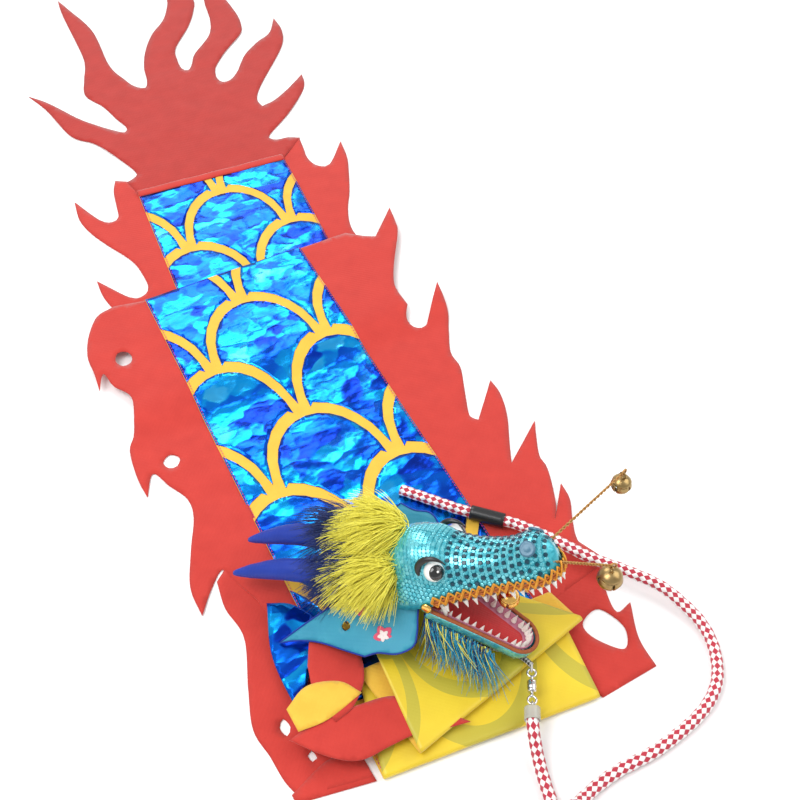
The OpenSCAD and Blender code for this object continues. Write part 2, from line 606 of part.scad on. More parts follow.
module rope_coil() color("crimson") translate(coil_at) rotate_extrude()
    translate([coil_r_in, 0.1]) square([coil_r_out - coil_r_in, 2 * rope_d - 1]);
// Cap with a link and a short tube that holds the end of the rope
module rope_end_sleeve() color("lightgray") {
    swivel_link(1);
    on_swivel() translate([link_end - ring_w, 0, 0]) rotate([0, 90, 0]) difference() {
        cylinder(d = rope_d + 2.4, h = 9.4);
        translate([0, 0, 2 * ring_w]) cylinder(d = rope_d + 1, h = 9.4);
    }
}
// Short tube round the rope, along one straight part of its route
module rope_grip() color("black") {
    a = return_route[21];
    v = return_route[22] - a;
    translate(a) rotate([90, 0, heading_of(v) + 90]) difference() {
        cylinder(d = rope_d + 3.4, h = norm(v));
        translate([0, 0, -1]) cylinder(d = rope_d + 1.4, h = norm(v) + 2);
    }
}
// Sewn-in ring at the throat that the tow cord comes out of
module tow_ring() color("silver") {
    away = tow_route[1] - tow_route[0];
    translate(tow_route[0]) rotate([90, 0, heading_of(away) + 90])
        rotate_extrude() translate([cord_d / 2 + 1.2, 0]) circle(0.8, $fn = 16);
}

ribbon_strip();
flame_border_left();
flame_border_right();
tail_fin();
tail_seam_tape();
neck_sleeve();
neck_hoop();
head_shell();
palate_lining();
upper_teeth();
fangs();
lip_braid();
lower_jaw();
jaw_lining();
lower_teeth();
jaw_trim();
jaw_rivets();
eye_left();
eye_right();
pupils();
eye_lashes();
nostril_studs();
mane_left();
mane_right();
mane_strands();
horn_left();
horn_right();
ear_left();
ear_right();
ear_flower();
beard();
whisker_left();
whisker_right();
whisker_bell_left();
whisker_bell_right();
bell_pellet_left();
bell_pellet_right();
mouth_bell_hook();
mouth_bell();
bell_pellet_mouth();
tow_ring();
tow_cord();
swivel_head_eye();
swivel_barrel();
swivel_rope_eye();
rope_end_sleeve();
rope_lead();
rope_coil();
rope_return();
rope_grip();
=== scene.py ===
import random
from bisect import bisect_right
from math import asin, atan2, copysign, cos, degrees, dist, exp, pi, radians, sin

import bpy
from mathutils import Matrix, Vector, noise
from mathutils.geometry import delaunay_2d_cdt


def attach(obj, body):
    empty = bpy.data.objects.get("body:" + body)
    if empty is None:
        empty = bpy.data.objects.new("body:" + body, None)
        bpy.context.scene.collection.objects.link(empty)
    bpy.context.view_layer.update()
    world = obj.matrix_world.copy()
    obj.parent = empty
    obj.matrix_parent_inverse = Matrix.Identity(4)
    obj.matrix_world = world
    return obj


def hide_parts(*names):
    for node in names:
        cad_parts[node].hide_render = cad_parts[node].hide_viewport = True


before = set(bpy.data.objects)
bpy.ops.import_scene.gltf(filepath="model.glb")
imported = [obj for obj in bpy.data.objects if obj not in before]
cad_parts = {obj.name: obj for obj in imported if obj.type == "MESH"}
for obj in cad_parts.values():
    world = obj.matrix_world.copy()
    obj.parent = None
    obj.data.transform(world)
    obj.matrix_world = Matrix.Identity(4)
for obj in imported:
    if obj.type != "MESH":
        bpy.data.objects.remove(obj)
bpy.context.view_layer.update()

mm = 0.001
up = Vector((0, 0, 1))


# ---- camera, light and floor

cameraLook = {
    "place": (-0.2935, -0.8461, 0.773),
    "aim": (0.0384, -0.2619, 0.0),
    "lens": 52.2,
}
lightLook = {
    "sky": 0.62,
    "key": ((-0.9, -0.3, 1.5), 1.1, 21),     # place, size, watts
    "fill": ((1.1, -0.9, 1.2), 1.3, 11),
    "rim": ((0.2, 1.2, 1.3), 0.9, 11),
}


def makeCamera(look):
    data = bpy.data.cameras.new("camera")
    data.lens = look["lens"]
    data.clip_start, data.clip_end = 0.02, 20
    camera = bpy.data.objects.new("camera", data)
    bpy.context.collection.objects.link(camera)
    camera.location = look["place"]
    away = Vector(look["aim"]) - camera.location
    camera.rotation_euler = away.to_track_quat("-Z", "Y").to_euler()
    bpy.context.scene.camera = camera


def makeLights(look):
    world = bpy.data.worlds.new("studio")
    world.use_nodes = True
    world.node_tree.nodes["Background"].inputs["Color"].default_value = (1, 1, 1, 1)
    world.node_tree.nodes["Background"].inputs["Strength"].default_value = look["sky"]
    bpy.context.scene.world = world
    for name in ("key", "fill", "rim"):
        place, size, watts = look[name]
        data = bpy.data.lights.new(name, "AREA")
        data.size, data.energy = size, watts
        lamp = bpy.data.objects.new(name, data)
        bpy.context.collection.objects.link(lamp)
        lamp.location = place
        lamp.rotation_euler = (Vector((0, -0.25, 0)) - lamp.location).to_track_quat("-Z", "Y").to_euler()
    bpy.context.scene.view_settings.view_transform = "Standard"


makeCamera(cameraLook)
makeLights(lightLook)
print("camera and lights made")


# ---- small makers that every piece uses

def addNode(tree, kind, **values):
    made = tree.nodes.new(kind)
    for key, value in values.items():
        setattr(made, key, value)
    return made


def setInputs(node, values):
    for key, value in values.items():
        node.inputs[key].default_value = value


def mathNode(tree, operation, a, b=None, clamp=False):
    made = tree.nodes.new("ShaderNodeMath")
    made.operation, made.use_clamp = operation, clamp
    for slotIndex, value in enumerate((a, b)):
        if value is None:
            continue
        if hasattr(value, "links"):
            tree.links.new(value, made.inputs[slotIndex])
        else:
            made.inputs[slotIndex].default_value = value
    return made.outputs[0]


def mixColour(tree, factor, a, b):
    made = tree.nodes.new("ShaderNodeMix")
    made.data_type = "RGBA"
    for key, value in ((0, factor), (6, a), (7, b)):
        if hasattr(value, "links"):
            tree.links.new(value, made.inputs[key])
        elif key == 0:
            made.inputs[key].default_value = value
        else:
            made.inputs[key].default_value = (*value, 1)
    return made.outputs[2]


def makeGroup(name, inputs, outputs):
    group = bpy.data.node_groups.new(name, "ShaderNodeTree")
    for label, kind, value in inputs:
        made = group.interface.new_socket(name=label, in_out="INPUT", socket_type=kind)
        if value is not None:
            made.default_value = value
    for label, kind in outputs:
        group.interface.new_socket(name=label, in_out="OUTPUT", socket_type=kind)
    return group, group.nodes.new("NodeGroupInput"), group.nodes.new("NodeGroupOutput")


def useGroup(tree, group, vector, values=None):
    made = tree.nodes.new("ShaderNodeGroup")
    made.node_tree = group
    tree.links.new(vector, made.inputs["Vector"])
    setInputs(made, values or {})
    return made


def newMaterial(name, values):
    material = bpy.data.materials.new(name)
    material.use_nodes = True
    tree = material.node_tree
    shader = tree.nodes["Principled BSDF"]
    for key, value in values.items():
        shader.inputs[key].default_value = (*value, 1) if hasattr(value, "__len__") and len(value) == 3 else value
    coords = tree.nodes.new("ShaderNodeTexCoord")
    return material, tree, shader, coords


def addBump(tree, shader, height, distance, strength=1.0):
    made = tree.nodes.new("ShaderNodeBump")
    made.inputs["Strength"].default_value = strength
    made.inputs["Distance"].default_value = distance
    tree.links.new(height, made.inputs["Height"])
    tree.links.new(made.outputs["Normal"], shader.inputs["Normal"])
    return made


# woven cloth: fine over-and-under threads with soft mottling
def weaveGroup():
    group, start, end = makeGroup(
        "wovenThreads",
        [("Vector", "NodeSocketVector", None), ("Threads", "NodeSocketFloat", 1400.0),
         ("Mottle Scale", "NodeSocketFloat", 60.0)],
        [("Height", "NodeSocketFloat"), ("Mottle", "NodeSocketFloat")])
    parts = group.nodes.new("ShaderNodeSeparateXYZ")
    group.links.new(start.outputs["Vector"], parts.inputs[0])
    waves = []
    for axis in ("X", "Y"):
        turned = mathNode(group, "MULTIPLY", parts.outputs[axis], start.outputs["Threads"])
        waves.append(mathNode(group, "SINE", turned))
    crossed = mathNode(group, "MULTIPLY", waves[0], waves[1])
    cloudy = group.nodes.new("ShaderNodeTexNoise")
    group.links.new(start.outputs["Vector"], cloudy.inputs["Vector"])
    group.links.new(start.outputs["Mottle Scale"], cloudy.inputs["Scale"])
    cloudy.inputs["Detail"].default_value = 4
    group.links.new(mathNode(group, "MULTIPLY_ADD", crossed, 0.5), end.inputs["Height"])
    group.links.new(cloudy.outputs["Fac"], end.inputs["Mottle"])
    return group


# crinkled foil: sharp creases between small flat facets
def crinkleGroup():
    group, start, end = makeGroup(
        "crinkledFoil",
        [("Vector", "NodeSocketVector", None), ("Size", "NodeSocketFloat", 90.0),
         ("Stretch", "NodeSocketFloat", 0.7)],
        [("Height", "NodeSocketFloat"), ("Facet", "NodeSocketFloat"), ("Crease", "NodeSocketFloat")])
    scaled = group.nodes.new("ShaderNodeCombineXYZ")
    group.links.new(start.outputs["Stretch"], scaled.inputs["X"])
    scaled.inputs["Y"].default_value = 1
    scaled.inputs["Z"].default_value = 1
    drawn = addNode(group, "ShaderNodeVectorMath", operation="MULTIPLY")
    group.links.new(start.outputs["Vector"], drawn.inputs[0])
    group.links.new(scaled.outputs[0], drawn.inputs[1])
    warp = group.nodes.new("ShaderNodeTexNoise")
    setInputs(warp, {"Scale": 34, "Detail": 3})
    group.links.new(drawn.outputs[0], warp.inputs["Vector"])
    moved = addNode(group, "ShaderNodeVectorMath", operation="MULTIPLY_ADD")
    group.links.new(warp.outputs["Color"], moved.inputs[0])
    moved.inputs[1].default_value = (0.03, 0.03, 0.03)
    group.links.new(drawn.outputs[0], moved.inputs[2])
    cells = addNode(group, "ShaderNodeTexVoronoi", feature="DISTANCE_TO_EDGE")
    group.links.new(moved.outputs[0], cells.inputs["Vector"])
    group.links.new(start.outputs["Size"], cells.inputs["Scale"])
    facet = addNode(group, "ShaderNodeTexVoronoi", feature="SMOOTH_F1")
    group.links.new(moved.outputs[0], facet.inputs["Vector"])
    group.links.new(start.outputs["Size"], facet.inputs["Scale"])
    facet.inputs["Smoothness"].default_value = 0.25
    tone = group.nodes.new("ShaderNodeSeparateColor")
    group.links.new(facet.outputs["Color"], tone.inputs[0])
    group.links.new(cells.outputs["Distance"], end.inputs["Crease"])
    group.links.new(facet.outputs["Distance"], end.inputs["Height"])
    group.links.new(tone.outputs[0], end.inputs["Facet"])
    return group


# the bare arcs between the scales, from the strip's own length and width in millimetres
scaleRule = {"columnPitch": 106, "rowPitch": 74, "archHeight": 80, "crownBand": 13.5, "legBand": 8,
    "firstCrown": 18}


def bandGroup(rule):
    group, start, end = makeGroup(
        "scaleBands", [("Vector", "NodeSocketVector", None), ("Band", "NodeSocketFloat", 0.17)],
        [("Mask", "NodeSocketFloat")])
    parts = group.nodes.new("ShaderNodeSeparateXYZ")
    group.links.new(start.outputs["Vector"], parts.inputs[0])
    masks = []
    for parity in (0, 1):
        half = rule["columnPitch"] / 2
        across = mathNode(group, "ADD", parts.outputs["X"], half + parity * half + 10 * rule["columnPitch"])
        across = mathNode(group, "SUBTRACT", mathNode(group, "MODULO", across, rule["columnPitch"]), half)
        along = mathNode(group, "SUBTRACT", parts.outputs["Y"],
            rule["firstCrown"] + parity * rule["rowPitch"] - 20 * rule["rowPitch"])
        along = mathNode(group, "MODULO", along, 2 * rule["rowPitch"])
        fromFeet = mathNode(group, "SUBTRACT", rule["archHeight"], along)
        a = mathNode(group, "POWER", mathNode(group, "DIVIDE", across, half), 2)
        b = mathNode(group, "POWER", mathNode(group, "DIVIDE", fromFeet, rule["archHeight"]), 2)
        away = mathNode(group, "SQRT", mathNode(group, "ADD", a, b))
        inside = mathNode(group, "LESS_THAN", away, 1)
        thick = mathNode(group, "GREATER_THAN", away, mathNode(group, "SUBTRACT", 1, start.outputs["Band"]))
        standing = mathNode(group, "GREATER_THAN", fromFeet, 0)
        masks.append(mathNode(group, "MULTIPLY", mathNode(group, "MULTIPLY", inside, thick), standing))
    group.links.new(mathNode(group, "MAXIMUM", masks[0], masks[1]), end.inputs["Mask"])
    return group


groups = {"weave": weaveGroup(), "crinkle": crinkleGroup(), "bands": bandGroup(scaleRule)}


def clothMaterial(name, colour, shade, threads=1500, roughness=0.85, sheen=0.25, relief=0.00012):
    material, tree, shader, coords = newMaterial(name,
        {"Roughness": roughness, "Sheen Weight": sheen, "Specular IOR Level": 0.3})
    woven = useGroup(tree, groups["weave"], coords.outputs["Object"], {"Threads": threads})
    tree.links.new(mixColour(tree, woven.outputs["Mottle"], shade, colour), shader.inputs["Base Color"])
    addBump(tree, shader, woven.outputs["Height"], relief, 0.7)
    return material


def foilMaterial():
    material, tree, shader, coords = newMaterial(
        "blueFoil", {"Metallic": 0.94, "Roughness": 0.24, "Coat Weight": 0.06, "Coat Roughness": 0.12})
    creased = useGroup(tree, groups["crinkle"], coords.outputs["Object"], {"Size": 75.0})
    # painted reflections: the base colour runs from near-black navy to bright cyan over the crinkle facets and
    # broad noise, standing in for the light and dark the crinkled foil mirrors
    ramp = tree.nodes.new("ShaderNodeValToRGB")
    ramp.color_ramp.elements[0].position = 0.05
    ramp.color_ramp.elements[0].color = (0.002, 0.006, 0.09, 1)
    ramp.color_ramp.elements[1].position = 0.95
    ramp.color_ramp.elements[1].color = (0.1, 0.6, 0.95, 1)
    for position, colour in ((0.34, (0.001, 0.04, 0.5, 1)), (0.52, (0.002, 0.14, 0.78, 1)),
        (0.7, (0.004, 0.36, 0.9, 1))):
        ramp.color_ramp.elements.new(position).color = colour
    cloudy = tree.nodes.new("ShaderNodeTexNoise")
    setInputs(cloudy, {"Scale": 16, "Detail": 3, "Distortion": 1.2})
    tree.links.new(coords.outputs["Object"], cloudy.inputs["Vector"])
    blend = mathNode(tree, "MULTIPLY_ADD", creased.outputs["Facet"], 0.45)
    tree.nodes[-1].inputs[2].default_value = 0
    paintedReflectionTone = mathNode(tree, "ADD", blend, mathNode(tree, "MULTIPLY", cloudy.outputs["Fac"], 0.62))
    tree.links.new(paintedReflectionTone, ramp.inputs["Fac"])
    tree.links.new(ramp.outputs["Color"], shader.inputs["Base Color"])
    addBump(tree, shader, creased.outputs["Height"], 0.0017, 0.8)
    return material


def liningMaterial():
    material, tree, shader, coords = newMaterial("yellowLining",
        {"Roughness": 0.45, "Sheen Weight": 0.2, "Coat Weight": 0.15, "Coat Roughness": 0.35})
    pattern = useGroup(tree, groups["bands"], coords.outputs["UV"], {"Band": 0.2})
    woven = useGroup(tree, groups["weave"], coords.outputs["Object"], {"Threads": 1800.0, "Mottle Scale": 25.0})
    plain = mixColour(tree, woven.outputs["Mottle"], (0.62, 0.42, 0.01), (0.86, 0.66, 0.022))
    tree.links.new(mixColour(tree, pattern.outputs["Mask"], plain, (0.5, 0.42, 0.03)), shader.inputs["Base Color"])
    addBump(tree, shader, woven.outputs["Height"], 0.00008, 0.5)
    return material


materials = {
    "redBorder": clothMaterial("redBorder", (0.58, 0.045, 0.032), (0.46, 0.03, 0.022)),
    "redTail": clothMaterial("redTail", (0.48, 0.036, 0.028), (0.37, 0.024, 0.018)),
    # a darker copy of the border red, as painted shade for shadowed lower layers; no piece uses it
    "shadedRed": clothMaterial("shadedRed", (0.5, 0.03, 0.02), (0.34, 0.014, 0.01)),
    "yellowCloth": clothMaterial("yellowCloth", (0.86, 0.53, 0.06), (0.68, 0.38, 0.03), 1600, 0.7),
    "blueFoil": foilMaterial(),
    "yellowLining": liningMaterial(),
}
print("cloth materials made")


def makeMesh(name, points, faces, material, uv=None, smooth=True):
    mesh = bpy.data.meshes.new(name)
    mesh.from_pydata([tuple(p) for p in points], [], faces)
    for each in material if isinstance(material, (list, tuple)) else [material]:
        mesh.materials.append(each)
    if uv:
        layer = mesh.uv_layers.new(name="clothPlan")
        for loop in mesh.loops:
            layer.data[loop.index].uv = uv[loop.vertex_index]
    mesh.update()
    if smooth:
        mesh.polygons.foreach_set("use_smooth", [True] * len(mesh.polygons))
    made = bpy.data.objects.new(name, mesh)
    bpy.context.collection.objects.link(made)
    return made


# four-sided faces between rows of points; a closed row joins its end to its start
def gridFaces(rows, columns, closed=False, flip=False, base=0):
    wide, faces = columns if closed else columns + 1, []
    for i in range(rows):
        for k in range(columns):
            a, b = base + i * wide + k, base + i * wide + (k + 1) % wide
            faces.append((a, a + wide, b + wide, b) if flip else (a, b, b + wide, a + wide))
    return faces


def thicken(piece, thickness, offset=-1.0, back=0):
    solid = piece.modifiers.new("wall", "SOLIDIFY")
    solid.thickness, solid.offset = thickness, offset
    solid.material_offset = back
    return piece


def finishPiece(piece, slot, body="dragon", *stands):
    if stands:
        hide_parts(*stands)
    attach(piece, body)
    return piece


def meshArea(piece):
    return sum(face.area for face in piece.data.polygons)


# ---- outlines: points in millimetres; a third value marks a sharp corner

def splinePoint(a, b, c, d, t):
    return 0.5 * ((2 * b) + (c - a) * t + (2 * a - 5 * b + 4 * c - d) * t * t + (3 * b - a - 3 * c + d) * t * t * t)


def smoothOutline(points, origin=(0, 0), step=4.0):
    spots = [Vector((p[0] + origin[0], p[1] + origin[1])) for p in points]
    sharp = [len(p) > 2 for p in points]
    count, line = len(spots), []
    for i in range(count):
        b, c = spots[i], spots[(i + 1) % count]
        a = b * 2 - c if sharp[i] else spots[i - 1]
        d = c * 2 - b if sharp[(i + 1) % count] else spots[(i + 2) % count]
        pieces = max(1, round((c - b).length / step))
        line += [splinePoint(a, b, c, d, k / pieces) for k in range(pieces)]
    return line


def insideLoop(point, loop):
    x, y = point
    inside = False
    for i, a in enumerate(loop):
        b = loop[i - 1]
        if (a[1] > y) != (b[1] > y) and x < (b[0] - a[0]) * (y - a[1]) / (b[1] - a[1]) + a[0]:
            inside = not inside
    return inside


# fills a closed outline with an even net of triangles; returns flat points and faces
def fillOutline(loops, step):
    points, edges = [], []
    for loop in loops:
        start = len(points)
        points += [Vector(p) for p in loop]
        edges += [(start + i, start + (i + 1) % len(loop)) for i in range(len(loop))]
    rim = list(points)
    outer = loops[0]
    lowX, highX = min(p[0] for p in outer), max(p[0] for p in outer)
    lowY, highY = min(p[1] for p in outer), max(p[1] for p in outer)
    cells = {}
    for p in rim:
        cells.setdefault((int(p[0] // step), int(p[1] // step)), []).append(p)
    row, y = 0, lowY + step / 2
    while y < highY:
        x = lowX + (step / 2 if row % 2 else 0)
        while x < highX:
            here = Vector((x, y))
            near = [p for i in (-1, 0, 1) for j in (-1, 0, 1)
                    for p in cells.get((int(x // step) + i, int(y // step) + j), ())]
            clear = all((p - here).length > step * 0.55 for p in near)
            if clear and insideLoop(here, outer) and not any(insideLoop(here, hole) for hole in loops[1:]):
                points.append(here)
            x += step
        y += step * 0.866
        row += 1
    flat, _, faces, _, _, _ = delaunay_2d_cdt(points, edges, [], 0, 1e-5)
    kept = []
    for face in faces:
        centre = sum((flat[i] for i in face), Vector((0, 0))) / len(face)
        if insideLoop(centre, outer) and not any(insideLoop(centre, hole) for hole in loops[1:]):
            a, b, c = (flat[i] for i in face[:3])
            turn = (b - a).cross(c - a)
            kept.append(list(face) if turn > 0 else list(reversed(face)))
    used = sorted({i for face in kept for i in face})
    number = {old: new for new, old in enumerate(used)}
    return [flat[i] for i in used], [[number[i] for i in face] for face in kept]


# soft waves that laid cloth keeps, in millimetres
def ripple(x, y, seed=0.0, size=60.0):
    broad = noise.noise(Vector((x / size, y / size, seed)))
    fine = noise.noise(Vector((x / (size * 0.32), y / (size * 0.32), seed + 9)))
    return broad + 0.35 * fine


layoutOrigin = (-30, -200)      # outlines are drawn from a point on the ribbon's middle line


def clothPiece(name, outline, material, height, step=5.0, thickness=0.5, holes=(), origin=layoutOrigin, uvAt=None):
    loops = [smoothOutline(outline, origin)] + [smoothOutline(hole, origin, 3.0) for hole in holes]
    flat, faces = fillOutline(loops, step)
    points = [Vector((p.x, p.y, height(p.x, p.y))) * mm for p in flat]
    piece = makeMesh(name, points, faces, material, [uvAt(p.x, p.y) for p in flat] if uvAt else None)
    piece["flatArea"] = sum(face.area for face in piece.data.polygons)
    return thicken(piece, thickness * mm, -1.0, 0)


def declareSheet(piece, width, length, held="laid", restsOn=(), body="dragon", slot="red_cloth", stands=()):
    finishPiece(piece, slot, body, *stands)
    list(restsOn)


# ---- the scaled strip: one cloth that is folded back on itself

stripLook = {
    "width": 160, "thickness": 0.55, "rowStep": 4.0, "columns": 44, "wave": 1.3,
    "folds": {           # middle of the fold, its tilt, half its length
        "tailSeam": ((20, 108), -6.3, 80),
        "tailFold": ((-14, -152), -3.4, 80),
        "topFold": ((-33, -45), -1.8, 80),
        "lowFold": ((-60, -567), -8.2, 83),
        "backFold": ((-42, -489), -5, 80),
        "creaseFold": ((-35, -540), 11, 80),
        "neckLine": ((-67, -451), 24, 40),
    },
    "levels": {"tail": 1.5, "middle": 5.4, "mainTop": 9.4, "floor": 1.5, "firstBack": 6.2, "secondBack": 10.2,
        "lastBack": 14.2, "neck": 20},
    "rampStart": -160, "rampEnd": -205,
}


# the long run lies on the tail's layers at its top and on the floor below them
def mainLevel(y):
    levels = stripLook["levels"]
    s = (y - stripLook["rampEnd"]) / (stripLook["rampStart"] - stripLook["rampEnd"])
    s = min(1, max(0, s))
    return levels["floor"] + (levels["mainTop"] - levels["floor"]) * s * s * (3 - 2 * s)


def foldEnds(fold):
    (x, y), tilt, half = fold
    along = Vector((cos(radians(tilt)), sin(radians(tilt)), 0))
    return Vector((x, y, 0)) - along * half, Vector((x, y, 0)) + along * half


def stripRows(look):
    folds, levels = look["folds"], look["levels"]
    rows = []

    def run(a, b, heightAt):
        (leftA, rightA), (leftB, rightB) = foldEnds(folds[a]), foldEnds(folds[b])
        count = max(4, round(((leftA + rightA) / 2 - (leftB + rightB) / 2).length / look["rowStep"]))
        for i in range(count + 1):
            t = i / count
            left, right = leftA.lerp(leftB, t), rightA.lerp(rightB, t)
            left.z, right.z = heightAt(left.y, t), heightAt(right.y, t)
            rows.append((left, right))

    def bend(a, low, high, way):
        left, right = foldEnds(folds[a])
        out = Vector((-(right - left).y, (right - left).x, 0)).normalized() * way
        radius = (high - low) / 2
        for i in range(1, 10):
            angle = pi * i / 10
            shift = out * radius * 1.15 * sin(angle) + up * (low + radius - radius * cos(angle))
            rows.append((left + shift, right + shift))

    run("tailSeam", "tailFold", lambda y, t: levels["tail"])
    bend("tailFold", levels["tail"], levels["middle"], -1)
    run("tailFold", "topFold", lambda y, t: levels["middle"])
    bend("topFold", levels["middle"], levels["mainTop"], 1)
    mark = {"mainStart": len(rows)}
    run("topFold", "lowFold", lambda y, t: mainLevel(y))
    mark["mainEnd"] = len(rows) - 1
    bend("lowFold", levels["floor"], levels["firstBack"], -1)
    run("lowFold", "backFold", lambda y, t: levels["firstBack"])
    bend("backFold", levels["firstBack"], levels["secondBack"], 1)
    run("backFold", "creaseFold", lambda y, t: levels["secondBack"])
    bend("creaseFold", levels["secondBack"], levels["lastBack"], -1)
    run("creaseFold", "neckLine", lambda y, t: levels["lastBack"] + (levels["neck"] - levels["lastBack"]) * max(0,
        t - 0.35) / 0.65)
    lengths = [0.0]
    for i in range(1, len(rows)):
        before, after = (rows[i - 1][0] + rows[i - 1][1]) / 2, (rows[i][0] + rows[i][1]) / 2
        lengths.append(lengths[-1] + (after - before).length)
    return rows, lengths, mark


rows, rowLengths, rowMark = stripRows(stripLook)


def stripWave(x, y):
    crease = abs(noise.noise(Vector(((x + y) / 90, (x - y) / 40, 3.1))))
    return ripple(x, y, 1.7, 75) * 0.9 + 1.4 * (0.5 - crease)


# a spot on the laid strip: u across it and v down its length, both in millimetres
def stripSpot(u, v, lift=0.0):
    i = min(max(bisect_right(rowLengths, v) - 1, 0), len(rows) - 2)
    span = rowLengths[i + 1] - rowLengths[i]
    t = min(max((v - rowLengths[i]) / span, 0), 1) if span > 1e-6 else 0
    left, right = rows[i][0].lerp(rows[i + 1][0], t), rows[i][1].lerp(rows[i + 1][1], t)
    spot = left.lerp(right, u / stripLook["width"] + 0.5)
    spot.z += max(-0.6, stripWave(spot.x, spot.y) * stripLook["wave"] * 0.6) + lift
    return spot


def makeStrip(look):
    columns, points, uv = look["columns"], [], []
    for v in rowLengths:
        for i in range(columns + 1):
            u = look["width"] * (i / columns - 0.5)
            points.append(stripSpot(u, v) * mm)
            uv.append((u, v))
    faces = gridFaces(len(rows) - 1, columns, False, True)
    strip = makeMesh("ribbonStrip", points, faces, [materials["yellowCloth"], materials["yellowLining"]], uv)
    strip["flatArea"] = meshArea(strip)
    thicken(strip, look["thickness"] * mm, -1.0, 1)
    declareSheet(strip, look["width"] + 4, rowLengths[-1], "folded", ["tailFin"], slot="foil_cloth",
        stands=["ribbon_strip"])
    return strip


strip = makeStrip(stripLook)
print("strip made, length", round(rowLengths[-1]), "mm")


# ---- foil scales pressed on the strip: each is the field inside one arc, down to the two arcs below it

foilLook = {"lift": 0.35, "step": 3.2, "crinkle": 0.9, "edge": 0.2}


def arcPoints(x, crown, halfWidth, height, count=14):
    return [(x + halfWidth * cos(pi * (1 - i / count)),
        crown + height - height * sin(pi * (1 - i / count)))
            for i in range(count + 1)]


def scaleField(x, crown, rule):
    half, tall = rule["columnPitch"] / 2, rule["archHeight"]
    arch = arcPoints(x, crown + rule["crownBand"], half - rule["legBand"], tall - rule["crownBand"])
    lower = crown + rule["rowPitch"]
    field = [p for p in arch]
    right = [p for p in arcPoints(x + half, lower, half, tall) if x + 1.5 < p[0] < x + half - rule["legBand"]]
    left = [p for p in arcPoints(x - half, lower, half, tall) if x - half + rule["legBand"] < p[0] < x - 1.5]
    crownBelow = crown + 2 * rule["rowPitch"] - 2
    right = [p for p in right if p[1] < crownBelow]
    left = [p for p in left if p[1] < crownBelow]
    return field + list(reversed(right)) + [(x, crownBelow)] + list(reversed(left))


def clipLoop(loop, axis, limit, keepBelow):
    kept = []
    inside = (lambda p: p[axis] <= limit) if keepBelow else (lambda p: p[axis] >= limit)
    for i, here in enumerate(loop):
        before = loop[i - 1]
        if inside(here) != inside(before):
            t = (limit - before[axis]) / (here[axis] - before[axis])
            kept.append(tuple(before[k] + t * (here[k] - before[k]) for k in (0, 1)))
        if inside(here):
            kept.append(here)
    return kept


def evenLoop(loop, step):
    line = []
    for i, here in enumerate(loop):
        after = loop[(i + 1) % len(loop)]
        gap = dist(here, after)
        pieces = max(1, round(gap / step))
        line += [tuple(here[k] + (after[k] - here[k]) * j / pieces for k in (0, 1)) for j in range(pieces)]
    clean = []
    for p in line:
        if not clean or dist(p, clean[-1]) > 0.3:
            clean.append(p)
    return clean


def foilHeight(u, v):
    warped = Vector((u / 24 + v / 60 + noise.noise(Vector((u / 30, v / 30, 5))), v / 17 - u / 70, 2.0))
    near = noise.voronoi(warped)[0]
    return min(1.0, (near[1] - near[0]) * 1.1)


def makeFoil(name, vStart, vEnd, crownShift, look, rule):
    points, faces, uv = [], [], []
    halfStrip = stripLook["width"] / 2 - look["edge"]
    for row in range(-2, 12):
        crown = rule["firstCrown"] + crownShift + row * rule["rowPitch"]
        for column in range(-2, 3):
            x = column * rule["columnPitch"] + (row % 2) * rule["columnPitch"] / 2
            loop = scaleField(x, crown, rule)
            for axis, limit, below in ((0, halfStrip, True), (0, -halfStrip, False), (1, vEnd, True),
                (1, vStart, False)):
                loop = clipLoop(loop, axis, limit, below) if len(loop) > 2 else []
            loop = evenLoop(loop, look["step"]) if len(loop) > 2 else []
            if len(loop) < 4:
                continue
            flat, triangles = fillOutline([loop], look["step"])
            base = len(points)
            for p in flat:
                rim = min(dist(p, q) for q in loop)
                puff = look["crinkle"] * foilHeight(p.x, p.y) * min(1, rim / 4)
                points.append(stripSpot(p.x, p.y, look["lift"] + puff) * mm)
                uv.append((p.x, p.y))
            faces += [[base + i for i in reversed(face)] for face in triangles]
    foil = makeMesh(name, points, faces, materials["blueFoil"], uv)
    thicken(foil, 0.2 * mm, -1.0)
    return finishPiece(foil, "foil_cloth")


makeFoil("tailScales", 3, 175, 0, foilLook, scaleRule)
mainStart, mainEnd = rowLengths[rowMark["mainStart"]], rowLengths[rowMark["mainEnd"]]
makeFoil("mainScales", mainStart - 1, mainEnd - 60, mainStart + 33 - scaleRule["firstCrown"], foilLook, scaleRule)
print("scales made")


# ---- red cloth: flame borders and tail fin, drawn as flat outlines and laid at their layer

borderLook = {"wave": 1.1, "thickness": 0.5, "step": 5.0}

